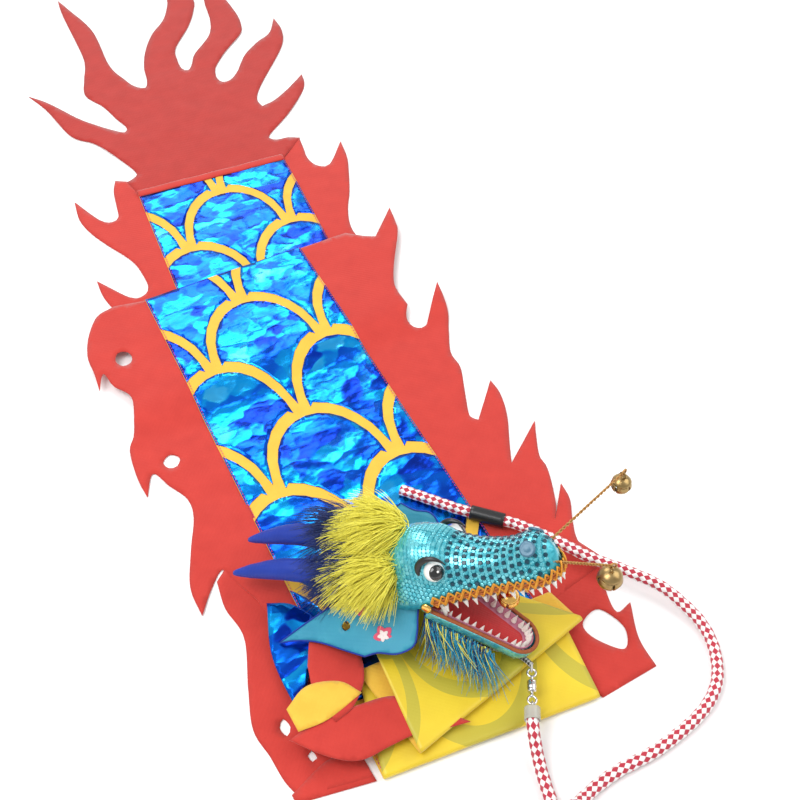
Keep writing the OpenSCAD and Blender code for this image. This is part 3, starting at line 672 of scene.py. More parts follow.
tailFinOutline = [
    (-28, 314, 1), (-32, 343, 1), (-22, 347), (-18, 357), (-30, 400), (-40, 425), (-57, 450), (-65, 510),
        (-74, 546, 1),
    (-60, 525), (-45, 490), (-32, 465), (-15, 440), (-3, 427), (2, 435), (-2, 455), (-7, 485), (-17, 515),
        (-8, 545),
    (2, 570), (8, 600), (16, 690), (22, 728, 1), (27, 700), (36, 640), (28, 560), (33, 525), (38, 505), (48, 495),
    (55, 508), (62, 535), (75, 565), (95, 595), (120, 620), (135, 645), (143, 665), (147, 700), (158, 742),
        (182, 786, 1),
    (170, 735), (169, 700), (172, 650), (160, 620), (140, 590), (110, 555), (102, 530), (100, 512), (105, 505),
        (113, 513),
    (125, 532), (155, 560), (170, 590), (180, 630), (187, 650), (199, 690), (226, 736, 1), (212, 690), (208, 660),
    (207, 627), (205, 590), (200, 565), (190, 545), (160, 520), (140, 500), (133, 490), (128, 475), (130, 463),
        (140, 462),
    (155, 475), (175, 500), (200, 518), (222, 530), (241, 558, 1), (238, 530), (228, 505), (210, 482), (175, 445),
    (158, 425), (150, 410), (150, 397, 1), (170, 402), (200, 420), (217, 432, 1), (212, 415), (200, 398),
        (170, 370),
    (135, 345), (132, 338), (138, 332), (150, 330), (161, 323, 1), (128, 298, 1)]
tailRightOutline = [
    (121, 306, 1), (128, 330, 1), (160, 323, 1), (156, 305), (152, 287), (155, 271), (168, 266), (197, 296, 1),
        (190, 268),
    (180, 245), (165, 215), (150, 190), (140, 165), (138, 140), (135, 60, 1), (98, 60, 1), (110, 158)]
tailLeftOutline = [
    (-25, 314, 1), (-31, 344, 1), (-42, 352, 1), (-50, 335), (-56, 310), (-60, 295), (-68, 291), (-78, 300),
        (-91, 340, 1),
    (-96, 310), (-93, 285), (-85, 260), (-72, 225), (-70, 200), (-72, 182), (-80, 174), (-92, 178), (-112, 215, 1),
    (-114, 190), (-110, 165), (-100, 130), (-90, 60, 1), (-50, 60, 1), (-44, 158)]
mainRightOutline = [
    (73, 152, 1), (126, 150, 1), (139, 138), (150, 131, 1), (184, 163, 1), (178, 140), (172, 125), (145, 85),
        (132, 60),
    (130, 40), (130, 32, 1), (124, 24), (121, 16), (123, 8), (129, 4), (135, 5, 1), (170, 45, 1), (162, 12),
        (150, -10),
    (137, -35), (135, -55), (125, -78), (114, -102), (112, -110), (116, -116, 1), (150, -82, 1), (149, -100),
    (140, -125), (126, -150), (115, -170, 1), (158, -141, 1), (150, -155), (140, -175), (138, -190), (124, -222),
    (113, -237, 1), (139, -208, 1), (136, -225), (125, -245), (118, -262), (116, -290, 1), (54, -300, 1), (62, -80)]
mainLeftOutline = [
    (-79, 157, 1), (-112, 165, 1), (-130, 160), (-145, 140), (-155, 115), (-157, 92), (-160, 70, 1), (-150, 88),
        (-147, 70),
    (-138, 50), (-150, 15), (-160, 0), (-165, -30), (-165, -53, 1), (-152, -32), (-145, -50), (-137, -70),
        (-140, -90),
    (-155, -120), (-168, -150), (-170, -178, 1), (-155, -160), (-140, -147), (-136, -160), (-128, -185, 1),
        (-120, -240, 1),
    (-104, -250, 1), (-97, -120), (-90, 0)]
mainLeftHoles = [
    [(-135, 97), (-130, 106), (-123, 105), (-120, 98), (-123, 90), (-131, 89)],
    [(-140, -25), (-132, -20), (-126, -27), (-131, -34), (-138, -33)]]


def layAt(level, amount=1.0, seed=0.0):
    return lambda x, y: level + borderLook["wave"] * amount * (0.6 + ripple(x, y, seed))


def alongMain(below, amount=1.0, seed=0.0):
    return lambda x, y: mainLevel(y) - below + borderLook["wave"] * amount * (0.6 + ripple(x, y, seed))


tailFin = clothPiece("tailFin", tailFinOutline, materials["redTail"], layAt(0.9, 1.0, 4.0), 6)
declareSheet(tailFin, 320, 480, restsOn=["floor"], stands=["tail_fin"])
tailRight = clothPiece("tailBorderRight", tailRightOutline, materials["redBorder"], layAt(0.8, 0.5, 5.0))
declareSheet(tailRight, 100, 275)
tailLeft = clothPiece("tailBorderLeft", tailLeftOutline, materials["redBorder"], layAt(0.8, 0.5, 6.0))
declareSheet(tailLeft, 92, 295)
mainRight = clothPiece("mainBorderRight", mainRightOutline, materials["redBorder"], alongMain(0.9, 0.9, 7.0))
declareSheet(mainRight, 130, 465, stands=["flame_border_right"])
mainLeft = clothPiece("mainBorderLeft", mainLeftOutline, materials["redBorder"], alongMain(0.9, 1.2, 8.0),
    holes=mainLeftHoles)
declareSheet(mainLeft, 110, 420, stands=["flame_border_left"])
print("borders made")


# ---- folded pieces at the lower end, under and over the strip's last folds

def curlHeight(level, lift, centre, radius, seed=0.0):
    def height(x, y):
        away = dist((x, y), centre) / radius
        return level + lift * exp(-away * away) + 0.8 * (0.6 + ripple(x, y, seed))
    return height


lowerPieces = {
    # name: outline, material, height, holes, flat size
    "underFlame": ([
        (-128, -140, 1), (-148, -155, 1), (-152, -180), (-150, -210), (-165, -250), (-175, -280), (-173, -304, 1),
        (-172, -325), (-168, -340, 1), (-118, -352, 1), (-116, -250, 1), (-119, -180)],
        "redBorder", curlHeight(0.6, 0, (-150, -250), 60, 11.0), [
            [(-158, -288), (-153, -283), (-151, -291), (-156, -296)],
            [(-150, -316), (-146, -314), (-145, -321), (-149, -322)]], (70, 220)),
    "cornerFlame": ([
        (-172, -336, 1), (-172, -343, 1), (-117, -356, 1), (-117, -330, 1), (-140, -326)],
        "redBorder", curlHeight(0.7, 0, (-140, -340), 40, 12.0), [], (60, 32)),
    "rightUnderFlame": ([
        (40, -240, 1), (118, -262, 1), (126, -285), (128, -300), (114, -306), (109, -313), (106, -330),
            (120, -328, 1),
        (107, -356), (104, -381, 1), (55, -382, 1), (40, -330)],
        "redBorder", curlHeight(0.5, 0, (100, -320), 50, 13.0), [
            [(77, -326), (90, -320), (98, -324), (103, -344), (92, -358), (78, -340)]], (100, 150)),
}
for name, (outline, colour, height, holes, size) in lowerPieces.items():
    piece = clothPiece(name, outline, materials[colour], height, 5, 0.5, holes)
    declareSheet(piece, *size)


# the folded flap, curl and foil corner that lie over the yellow folds
overPieces = {
    "foilCorner": ([
        (-124, -196, 1), (-108, -206), (-98, -226), (-100, -250), (-120, -262), (-143, -296, 1), (-140, -240)],
        "blueFoil", curlHeight(8.5, 3, (-118, -240), 40, 14.0), (48, 105)),
    "redCurl": ([
        (-122, -262, 1), (-108, -240), (-92, -236), (-84, -252), (-84, -272), (-92, -292), (-108, -306),
            (-124, -310, 1),
        (-128, -286)],
        "redBorder", curlHeight(15.6, 5, (-96, -262), 26, 15.0), (50, 76)),
    "frontFlap": ([
        (-158, -306, 1), (-130, -302), (-106, -306), (-80, -312), (-62, -330), (-42, -356, 1), (-62, -351),
            (-80, -345),
        (-100, -344), (-122, -343), (-140, -330)],
        "redBorder", curlHeight(14.6, 3, (-100, -325), 34, 16.0), (120, 56)),
    "yellowTurn": ([
        (-150, -285, 1), (-130, -276), (-108, -284), (-98, -300, 1), (-128, -306), (-150, -304, 1)],
        "yellowCloth", curlHeight(16.4, 1.5, (-122, -292), 24, 17.0), (54, 32)),
}
for name, (outline, colour, height, size) in overPieces.items():
    piece = clothPiece(name, outline, materials[colour], height, 4, 0.5)
    declareSheet(piece, *size, held="folded", restsOn=["ribbonStrip"])
print("lower folds made")


# ---- stitches beside the strip and on the tail seam, placed by a node group along points

def copiesGroup():
    group = bpy.data.node_groups.new("placeCopies", "GeometryNodeTree")
    face = group.interface
    for label, kind in (("Geometry", "NodeSocketGeometry"), ("Size", "NodeSocketFloat"),
        ("Length", "NodeSocketFloat"),
                        ("Depth", "NodeSocketFloat"), ("Sides", "NodeSocketInt"), ("Tip", "NodeSocketFloat"),
                        ("Size Spread", "NodeSocketFloat"), ("Seed", "NodeSocketInt"),
                            ("Material", "NodeSocketMaterial")):
        face.new_socket(name=label, in_out="INPUT", socket_type=kind)
    face.new_socket(name="Geometry", in_out="OUTPUT", socket_type="NodeSocketGeometry")
    start, end = group.nodes.new("NodeGroupInput"), group.nodes.new("NodeGroupOutput")
    join = group.links.new
    cone = group.nodes.new("GeometryNodeMeshCone")
    join(start.outputs["Sides"], cone.inputs["Vertices"])
    join(start.outputs["Size"], cone.inputs["Radius Bottom"])
    tip = group.nodes.new("ShaderNodeMath")
    tip.operation = "MULTIPLY"
    join(start.outputs["Size"], tip.inputs[0])
    join(start.outputs["Tip"], tip.inputs[1])
    join(tip.outputs[0], cone.inputs["Radius Top"])
    join(start.outputs["Depth"], cone.inputs["Depth"])
    stretch = group.nodes.new("GeometryNodeTransform")
    shape = group.nodes.new("ShaderNodeCombineXYZ")
    join(start.outputs["Length"], shape.inputs["X"])
    shape.inputs["Y"].default_value = 1
    shape.inputs["Z"].default_value = 1
    join(cone.outputs["Mesh"], stretch.inputs["Geometry"])
    join(shape.outputs[0], stretch.inputs["Scale"])
    points = group.nodes.new("GeometryNodeMeshToPoints")
    join(start.outputs["Geometry"], points.inputs["Mesh"])
    outward = addNode(group, "GeometryNodeInputNamedAttribute", data_type="FLOAT_VECTOR")
    outward.inputs["Name"].default_value = "outward"
    along = addNode(group, "GeometryNodeInputNamedAttribute", data_type="FLOAT_VECTOR")
    along.inputs["Name"].default_value = "along"
    aim = addNode(group, "FunctionNodeAlignEulerToVector", axis="Z")
    join(outward.outputs["Attribute"], aim.inputs["Vector"])
    swing = addNode(group, "FunctionNodeAlignEulerToVector", axis="X", pivot_axis="Z")
    join(aim.outputs["Rotation"], swing.inputs["Rotation"])
    join(along.outputs["Attribute"], swing.inputs["Vector"])
    spread = addNode(group, "FunctionNodeRandomValue", data_type="FLOAT")
    low, high = mathNode(group, "SUBTRACT", 1, start.outputs["Size Spread"]), mathNode(group, "ADD", 1,
        start.outputs["Size Spread"])
    join(low, spread.inputs[2])
    join(high, spread.inputs[3])
    join(start.outputs["Seed"], spread.inputs["Seed"])
    place = group.nodes.new("GeometryNodeInstanceOnPoints")
    join(points.outputs["Points"], place.inputs["Points"])
    join(stretch.outputs["Geometry"], place.inputs["Instance"])
    join(swing.outputs["Rotation"], place.inputs["Rotation"])
    join(spread.outputs[1], place.inputs["Scale"])
    real = group.nodes.new("GeometryNodeRealizeInstances")
    join(place.outputs["Instances"], real.inputs["Geometry"])
    dress = group.nodes.new("GeometryNodeSetMaterial")
    join(real.outputs["Geometry"], dress.inputs["Geometry"])
    join(start.outputs["Material"], dress.inputs["Material"])
    join(dress.outputs["Geometry"], end.inputs["Geometry"])
    return group


# thin threads along drawn lines: round strands that narrow towards their ends
def threadsGroup():
    group = bpy.data.node_groups.new("drawThreads", "GeometryNodeTree")
    face = group.interface
    for label, kind in (("Geometry", "NodeSocketGeometry"), ("Radius", "NodeSocketFloat"),
        ("Tip", "NodeSocketFloat"),
                        ("Sides", "NodeSocketInt"), ("Spread", "NodeSocketFloat"), ("Seed", "NodeSocketInt"),
                        ("Material", "NodeSocketMaterial")):
        face.new_socket(name=label, in_out="INPUT", socket_type=kind)
    face.new_socket(name="Geometry", in_out="OUTPUT", socket_type="NodeSocketGeometry")
    start, end = group.nodes.new("NodeGroupInput"), group.nodes.new("NodeGroupOutput")
    join = group.links.new
    lines = group.nodes.new("GeometryNodeMeshToCurve")
    join(start.outputs["Geometry"], lines.inputs["Mesh"])
    ring = group.nodes.new("GeometryNodeCurvePrimitiveCircle")
    join(start.outputs["Sides"], ring.inputs["Resolution"])
    ring.inputs["Radius"].default_value = 1
    along = group.nodes.new("GeometryNodeSplineParameter")
    narrow = group.nodes.new("ShaderNodeMapRange")
    join(along.outputs["Factor"], narrow.inputs["Value"])
    narrow.inputs["To Min"].default_value = 1
    join(start.outputs["Tip"], narrow.inputs["To Max"])
    spread = addNode(group, "FunctionNodeRandomValue", data_type="FLOAT")
    join(mathNode(group, "SUBTRACT", 1, start.outputs["Spread"]), spread.inputs[2])
    join(mathNode(group, "ADD", 1, start.outputs["Spread"]), spread.inputs[3])
    join(start.outputs["Seed"], spread.inputs["Seed"])
    width = mathNode(group, "MULTIPLY", start.outputs["Radius"], narrow.outputs["Result"])
    setRadius = group.nodes.new("GeometryNodeSetCurveRadius")
    join(lines.outputs["Curve"], setRadius.inputs["Curve"])
    join(mathNode(group, "MULTIPLY", width, spread.outputs[1]), setRadius.inputs["Radius"])
    tube = group.nodes.new("GeometryNodeCurveToMesh")
    join(setRadius.outputs["Curve"], tube.inputs["Curve"])
    join(ring.outputs["Curve"], tube.inputs["Profile Curve"])
    if "Scale" in tube.inputs:
        radius = group.nodes.new("GeometryNodeInputRadius")
        join(radius.outputs["Radius"], tube.inputs["Scale"])
    tube.inputs["Fill Caps"].default_value = True
    smooth = group.nodes.new("GeometryNodeSetShadeSmooth")
    join(tube.outputs["Mesh"], smooth.inputs["Geometry"] if "Geometry" in smooth.inputs else smooth.inputs[0])
    real = group.nodes.new("GeometryNodeRealizeInstances")
    join(smooth.outputs[0], real.inputs["Geometry"])
    dress = group.nodes.new("GeometryNodeSetMaterial")
    join(real.outputs["Geometry"], dress.inputs["Geometry"])
    join(start.outputs["Material"], dress.inputs["Material"])
    join(dress.outputs["Geometry"], end.inputs["Geometry"])
    return group


def growBy(group, name, mesh, values):
    seedObject = bpy.data.objects.new(name + "Seed", mesh)
    bpy.context.collection.objects.link(seedObject)
    grow = seedObject.modifiers.new("grow", "NODES")
    grow.node_group = group
    for socket in group.interface.items_tree:
        if socket.in_out == "INPUT" and socket.name in values:
            grow[socket.identifier] = values[socket.name]
    bpy.context.view_layer.update()
    evaluated = seedObject.evaluated_get(bpy.context.evaluated_depsgraph_get())
    made = bpy.data.meshes.new_from_object(evaluated)
    made.name = name
    piece = bpy.data.objects.new(name, made)
    bpy.context.collection.objects.link(piece)
    bpy.data.objects.remove(seedObject)
    return piece


growGroups = {"copies": copiesGroup(), "threads": threadsGroup()}


def placeCopies(name, spots, material, values):
    mesh = bpy.data.meshes.new(name + "Spots")
    mesh.from_pydata([tuple(s[0]) for s in spots], [], [])
    for label, k in (("outward", 1), ("along", 2)):
        layer = mesh.attributes.new(label, "FLOAT_VECTOR", "POINT")
        layer.data.foreach_set("vector", [c for s in spots for c in s[k]])
    given = {"Size": 0.001, "Length": 1.0, "Depth": 0.001, "Sides": 8, "Tip": 1.0, "Size Spread": 0.05, "Seed": 3,
             "Material": material}
    given.update(values)
    return growBy(growGroups["copies"], name, mesh, given)


def drawThreads(name, lines, material, values):
    points, edges = [], []
    for line in lines:
        edges += [(len(points) + i, len(points) + i + 1) for i in range(len(line) - 1)]
        points += [tuple(p) for p in line]
    mesh = bpy.data.meshes.new(name + "Lines")
    mesh.from_pydata(points, edges, [])
    given = {"Radius": 0.0004, "Tip": 0.2, "Sides": 4, "Spread": 0.15, "Seed": 5, "Material": material}
    given.update(values)
    return growBy(growGroups["threads"], name, mesh, given)


def evenCord(radius, sides=6):
    return {"Radius": radius, "Tip": 1.0, "Sides": sides, "Spread": 0.02}


materials["threadPink"] = newMaterial("threadPink", {"Base Color": (0.62, 0.03, 0.2), "Roughness": 0.7})[0]
stitchLook = {"gap": 3.2, "size": 0.00028, "length": 4.0, "depth": 0.0004}


def stitchRow(u, vStart, vEnd, lift):
    spots, v = [], vStart
    while v < vEnd:
        here, there = stripSpot(u, v, lift), stripSpot(u, v + 1.5, lift)
        spots.append((here * mm, up, (there - here).normalized()))
        v += stitchLook["gap"]
    return spots


stitchSpots = []
for u in (-78.6, 78.6):
    stitchSpots += stitchRow(u, 4, 175, 0.5) + stitchRow(u, mainStart + 2, mainEnd - 4, 0.5)
for k in range(50):
    here, there = stripSpot(-79 + k * 3.2, 2, 0.7), stripSpot(-77.5 + k * 3.2, 2, 0.7)
    stitchSpots.append((here * mm, up, (there - here).normalized()))
stitches = placeCopies("stitches", stitchSpots, materials["threadPink"], {
    "Size": stitchLook["size"], "Length": stitchLook["length"], "Depth": stitchLook["depth"], "Sides": 6,
        "Seed": 4})
finishPiece(stitches, "seam_tape")

# the turned seam tape between the strip and the tail fin
seamLine = [stripSpot(u, 1.0, 0.4) for u in range(-80, 84, 4)]
seamProfile = ((-5, 0.1), (-3, 0.9), (0, 1.1), (3, 0.9), (5, 0.2))
seamPoints = [(spot + Vector((0.1, 1, 0)) * (offset + 2) + up * (lift + 0.2)) * mm
              for spot in seamLine for offset, lift in seamProfile]
seamTape = makeMesh("seamTape", seamPoints, gridFaces(len(seamLine) - 1, 4, False, True), materials["redBorder"])
thicken(seamTape, 0.4 * mm, -1.0)
finishPiece(seamTape, "seam_tape", "dragon", "tail_seam_tape")
print("stitches made")


# ---- tubes: rope, cord, wire

def tubeMesh(name, path, radius, sides, material, relief=None, ends=True):
    points, uv, travelled, side = [], [], 0.0, None
    for i, here in enumerate(path):
        before, after = path[max(i - 1, 0)], path[min(i + 1, len(path) - 1)]
        tangent = (after - before).normalized()
        if i:
            travelled += (here - path[i - 1]).length
        if side is None:
            side = tangent.cross(up if abs(tangent.z) < 0.9 else Vector((1, 0, 0))).normalized()
        side = (side - tangent * side.dot(tangent)).normalized()
        over = side.cross(tangent)
        for k in range(sides):
            angle = 2 * pi * k / sides
            size = radius(i / (len(path) - 1)) if callable(radius) else radius
            bulge = relief(angle, travelled) if relief else 0
            points.append((here + (side * cos(angle) + over * sin(angle)) * (size + bulge)) * mm)
            uv.append((k / sides, travelled))
    faces = gridFaces(len(path) - 1, sides, True, True)
    if ends:
        faces += [tuple(range(sides)), tuple(reversed(range((len(path) - 1) * sides, len(path) * sides)))]
    return makeMesh(name, points, faces, material, uv)


def smoothPath(points, step):
    spots = [Vector(p) for p in points]
    line = []
    for i in range(len(spots) - 1):
        a, b = spots[max(i - 1, 0)], spots[i]
        c, d = spots[i + 1], spots[min(i + 2, len(spots) - 1)]
        count = max(1, round((c - b).length / step))
        line += [splinePoint(a, b, c, d, k / count) for k in range(count)]
    return line + [spots[-1]]


def pathLength(path):
    return sum((path[i + 1] - path[i]).length for i in range(len(path) - 1))


# braided jacket: two sets of strands that cross, told apart by colour
def braidMaterial(name, first, second, turns, pitch):
    material, tree, shader, coords = newMaterial(name, {"Roughness": 0.6, "Sheen Weight": 0.3})
    strands = useGroup(tree, groups["braid"], coords.outputs["UV"], {"Strands": turns, "Pitch": pitch})
    tree.links.new(mixColour(tree, strands.outputs["Over"], second, first), shader.inputs["Base Color"])
    addBump(tree, shader, strands.outputs["Height"], 0.0005, 0.7)
    return material


def braidGroup():
    group, start, end = makeGroup(
        "braidStrands", [("Vector", "NodeSocketVector", None), ("Strands", "NodeSocketFloat", 4.0),
            ("Pitch", "NodeSocketFloat", 12.0)],
        [("Over", "NodeSocketFloat"), ("Height", "NodeSocketFloat")])
    parts = group.nodes.new("ShaderNodeSeparateXYZ")
    group.links.new(start.outputs["Vector"], parts.inputs[0])
    around = mathNode(group, "MULTIPLY", parts.outputs["X"], start.outputs["Strands"])
    along = mathNode(group, "DIVIDE", parts.outputs["Y"], start.outputs["Pitch"])
    one = mathNode(group, "ADD", around, along)
    two = mathNode(group, "SUBTRACT", around, along)
    waveOne = mathNode(group, "SINE", mathNode(group, "MULTIPLY", one, 2 * pi))
    waveTwo = mathNode(group, "SINE", mathNode(group, "MULTIPLY", two, 2 * pi))
    group.links.new(mathNode(group, "GREATER_THAN", mathNode(group, "MULTIPLY", waveOne, waveTwo), 0),
        end.inputs["Over"])
    group.links.new(mathNode(group, "MAXIMUM", waveOne, waveTwo), end.inputs["Height"])
    return group


groups["braid"] = braidGroup()
materials["ropeBraid"] = braidMaterial("ropeBraid", (0.46, 0.01, 0.035), (0.84, 0.81, 0.8), 3.0, 12.0)
materials["cordBraid"] = braidMaterial("cordBraid", (0.012, 0.012, 0.014), (0.6, 0.58, 0.56), 2.0, 5.0)
materials["metal"] = newMaterial("metal", {"Base Color": (0.72, 0.72, 0.73), "Metallic": 1.0, "Roughness": 0.22})[0]
materials["blackTube"] = newMaterial("blackTube", {"Base Color": (0.008, 0.008, 0.009), "Roughness": 0.42,
    "Coat Weight": 0.2})[0]
materials["clearTube"] = newMaterial("clearTube", {"Base Color": (0.8, 0.79, 0.7), "Roughness": 0.15,
    "Transmission Weight": 0.55, "IOR": 1.45})[0]

ropeLook = {
    "radius": 4.5, "relief": 0.28, "step": 1.7, "sides": 20,
    "coilCentre": (-123, -680), "coilOuter": 57.3, "coilPitch": 9.5, "coilTurns": 2.32, "coilEntry": -6,
}
swivelAt = Vector((-21, -556, 18))
swivelWay = Vector((cos(radians(-123)), sin(radians(-123)), 0))
leadPoints = [swivelAt + swivelWay * 18.0, swivelAt + swivelWay * 26.0, (-39.5, -587, 14.5), (-43, -597, 9.5),
              (-46.5, -608, 5.8), (-50, -620, 4.8), (-55, -638, 4.8), (-60, -653, 4.8)]
returnPoints = [(-84, -623, 8.8), (-74, -631, 11), (-64, -636.6, 14.3),
                (-54, -639.4, 15), (-44, -639.6, 11), (-34, -637.6, 6.6), (-20, -634.6, 4.8), (1, -633, 4.8),
                    (35, -634, 4.8),
                (75, -628, 4.8), (100, -616, 4.8), (116, -596, 4.8), (123, -573, 5.6), (120, -550, 8.4),
                    (113, -530, 10.6),
                (98, -506, 10.8), (82, -484, 10.8), (68, -457, 10), (50.7, -428.4, 8.6), (44, -421, 8.4),
                    (25.2, -400.3, 8.2),
                (18.4, -392.9, 8), (1, -369, 7), (-12, -352, 6.8)]


def ropeRoute(look):
    centre = Vector((*look["coilCentre"], 0))
    coil, count = [], 46
    for i in range(count + 1):
        s = i / count
        angle = radians(look["coilEntry"] - s * 360 * look["coilTurns"])
        radius = look["coilOuter"] - look["coilPitch"] * look["coilTurns"] * s
        rise = 4.8 if s < 0.7 else 4.8 + 9.2 * min(1, (s - 0.7) / 0.16)
        coil.append(centre + Vector((cos(angle) * radius, sin(angle) * radius, rise)))
    last = coil[-1]
    over = [last + (Vector(returnPoints[0]) - last) * t + up * (3.4 * sin(pi * t)) for t in (0.33, 0.66)]
    return smoothPath(list(leadPoints) + coil + over + returnPoints, look["step"])


ropePath = ropeRoute(ropeLook)


def ropeRelief(angle, travelled):
    a = angle / (2 * pi) * 3
    b = travelled / 12.0
    return ropeLook["relief"] * (max(sin(2 * pi * (a + b)), sin(2 * pi * (a - b))) - 0.5)


rope = tubeMesh("rope", ropePath, ropeLook["radius"], ropeLook["sides"], materials["ropeBraid"], ropeRelief)
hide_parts("rope_lead", "rope_coil", "rope_return")
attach(rope, "dragon")
print("rope length", round(pathLength(ropePath)), "mm")


def straightPart(path, a, b):
    nearA = min(range(len(path)), key=lambda i: (path[i] - Vector(a)).length)
    nearB = min(range(len(path)), key=lambda i: (path[i] - Vector(b)).length)
    return path[min(nearA, nearB):max(nearA, nearB) + 1]


def sleevePiece(name, part, inner, outer, material, slot, node):
    points, faces, sides = [], [], 28
    length = pathLength(part)
    rings = [(0, inner), (0, outer - 0.3), (0.4 / length, outer)] + [(t / 8, outer) for t in range(1, 8)] + [
        (1 - 0.4 / length, outer), (1, outer - 0.3), (1, inner)] + [(1 - t / 4, inner) for t in range(1, 4)]
    for t, radius in rings:
        k = min(int(t * (len(part) - 1)), len(part) - 2)
        tangent = (part[k + 1] - part[k]).normalized()
        centre = part[k].lerp(part[k + 1], t * (len(part) - 1) - k)
        across = tangent.cross(up).normalized()
        over = across.cross(tangent)
        for j in range(sides):
            angle = 2 * pi * j / sides
            points.append((centre + (across * cos(angle) + over * sin(angle)) * radius) * mm)
    count = len(rings)
    for i in range(count):
        for j in range(sides):
            a, b = i * sides + j, i * sides + (j + 1) % sides
            c, d = ((i + 1) % count) * sides + (j + 1) % sides, ((i + 1) % count) * sides + j
            faces.append((a, d, c, b))
    return finishPiece(makeMesh(name, points, faces, material), slot, "dragon", node)


grip = sleevePiece("ropeGrip", straightPart(ropePath, (44, -421, 8.4), (25.2, -400.3, 8.2)), 4.9, 6.0,
                   materials["blackTube"], "black_tube", "rope_grip")
endSleeve = sleevePiece("ropeEndSleeve", [swivelAt + swivelWay * t for t in (16.4, 21, 26)], 4.9, 5.8,
                        materials["clearTube"], "clear_tube", "rope_end_sleeve")
link = {"wire": 0.7, "radius": 2.6, "out": 14.4}


def ringMesh(name, centre, axis, radius, wire, material, slot, body, across=28, around=10):
    axis = Vector(axis).normalized()
    first = axis.cross(up if abs(axis.z) < 0.9 else Vector((1, 0, 0))).normalized()
    second = axis.cross(first)
    points, faces = [], []
    for i in range(across):
        a = 2 * pi * i / across
        out = first * cos(a) + second * sin(a)
        for k in range(around):
            b = 2 * pi * k / around
            points.append((Vector(centre) + out * (radius + wire * cos(b)) + axis * wire * sin(b)) * mm)
    for i in range(across):
        for k in range(around):
            a, b = i * around + k, i * around + (k + 1) % around
            c, d = ((i + 1) % across) * around + (k + 1) % around, ((i + 1) % across) * around + k
            faces.append((a, d, c, b))
    return finishPiece(makeMesh(name, points, faces, material), slot, body)


# a turned shape: profile points are (along the axis, radius)
def lathe(name, start, axis, profile, material, sides=32):
    axis = Vector(axis).normalized()
    first = axis.cross(up if abs(axis.z) < 0.9 else Vector((1, 0, 0))).normalized()
    second = axis.cross(first)
    points, faces = [], []
    for along, radius in profile:
        for k in range(sides):
            a = 2 * pi * k / sides
            points.append((Vector(start) + axis * along + (first * cos(a) + second * sin(a)) * radius)
                * mm)
    faces += gridFaces(len(profile) - 1, sides, True)
    if profile[0][1] > 0.01:
        faces.append(tuple(reversed(range(sides))))
    if profile[-1][1] > 0.01:
        faces.append(tuple(range((len(profile) - 1) * sides, len(profile) * sides)))
    return makeMesh(name, points, faces, material)


sideways = swivelWay.cross(up)
for name, way, node in (("swivelHeadEye", -1, "swivel_head_eye"), ("swivelRopeEye", 1, "swivel_rope_eye")):
    eyeRing = ringMesh(name, swivelAt + swivelWay * 10.5 * way, up, 3, 0.9, materials["metal"], "swivel_metal",
        "dragon")
    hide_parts(node)
    shank = lathe(name + "Shank", swivelAt + swivelWay * 3.4 * way, swivelWay * way,
        [(0, 1.1), (1.2, 1.1), (3.4, 1.0), (4.4, 1.3)], materials["metal"], 16)
    finishPiece(shank, "swivel_metal")
barrel = lathe("swivelBarrel", swivelAt - swivelWay * 4.5, swivelWay,
               [(0, 1.3), (0, 2.7), (0.7, 3.3), (1.4, 3.5), (2.6, 3.1), (3.2, 3.5), (5.8, 3.5), (6.4, 3.1),
                   (7.6, 3.5), (8.3, 3.3), (9, 2.7), (9, 1.3)],
               materials["metal"], 28)
finishPiece(barrel, "swivel_metal", "barrel", "swivel_barrel")
ringMesh("ropeLink", swivelAt + swivelWay * link["out"], sideways, link["radius"], link["wire"],
    materials["metal"], "swivel_metal", "dragon")
cordLink = ringMesh("cordLink", swivelAt - swivelWay * link["out"], sideways, link["radius"], link["wire"],
    materials["cordBraid"], "tow_cord_braid", "dragon")

towPoints = [(-42, -498, 17.5), (-36, -506, 16.8), (-28, -515, 15.8), (-20, -524, 16), (-14, -533, 17),
    swivelAt - swivelWay * 16.8]
towPath = smoothPath(towPoints, 1.2)
towCord = tubeMesh("towCord", towPath, 2.0, 12, materials["cordBraid"])
finishPiece(towCord, "tow_cord_braid", "dragon", "tow_cord")
print("rope, cord and swivel made")


# ---- the head: everything below is drawn in its own frame, snout along X, crown up Z

headAt = Vector((-46, -470, 56))


def turned(x, y, z):
    return (Matrix.Rotation(radians(z), 4, "Z") @ Matrix.Rotation(radians(y), 4, "Y")
            @ Matrix.Rotation(radians(x), 4, "X"))


headFrame = Matrix.Translation(headAt) @ turned(-18, -30, -43)
headTurn = headFrame.to_3x3()
jawFrame = headFrame @ Matrix.Rotation(radians(48), 4, "Y")


def onHead(x, y, z):
    return headFrame @ Vector((x, y, z))


headLook = {
    # place along the snout, half width, height of the top, how square the section is
    "sections": [
        (-38, 17, 36, 2.0), (-33, 22.5, 40.5, 2.0), (-24, 27.5, 45, 2.1), (-12, 29.6, 47, 2.2),
            (0, 29.2, 46.5, 2.3),
        (10, 27, 43, 2.4), (18, 24.4, 38, 2.5), (26, 22.6, 33, 2.6), (36, 20.8, 29.4, 2.7), (48, 19.3, 27, 2.7),
        (60, 18.4, 26.2, 2.6), (70, 18.1, 27.4, 2.5), (78, 17.6, 29.2, 2.4), (85, 16, 29, 2.3), (90, 13.4, 27, 2.2),
        (94, 9.4, 23.5, 2.1), (96.4, 4.2, 19, 2.0)],
    "around": 48, "wall": 2.0, "steps": 3,
    "sequinGap": 3.1, "dotRows": 2, "dotStep": 2, "dotsFrom": 20,
}


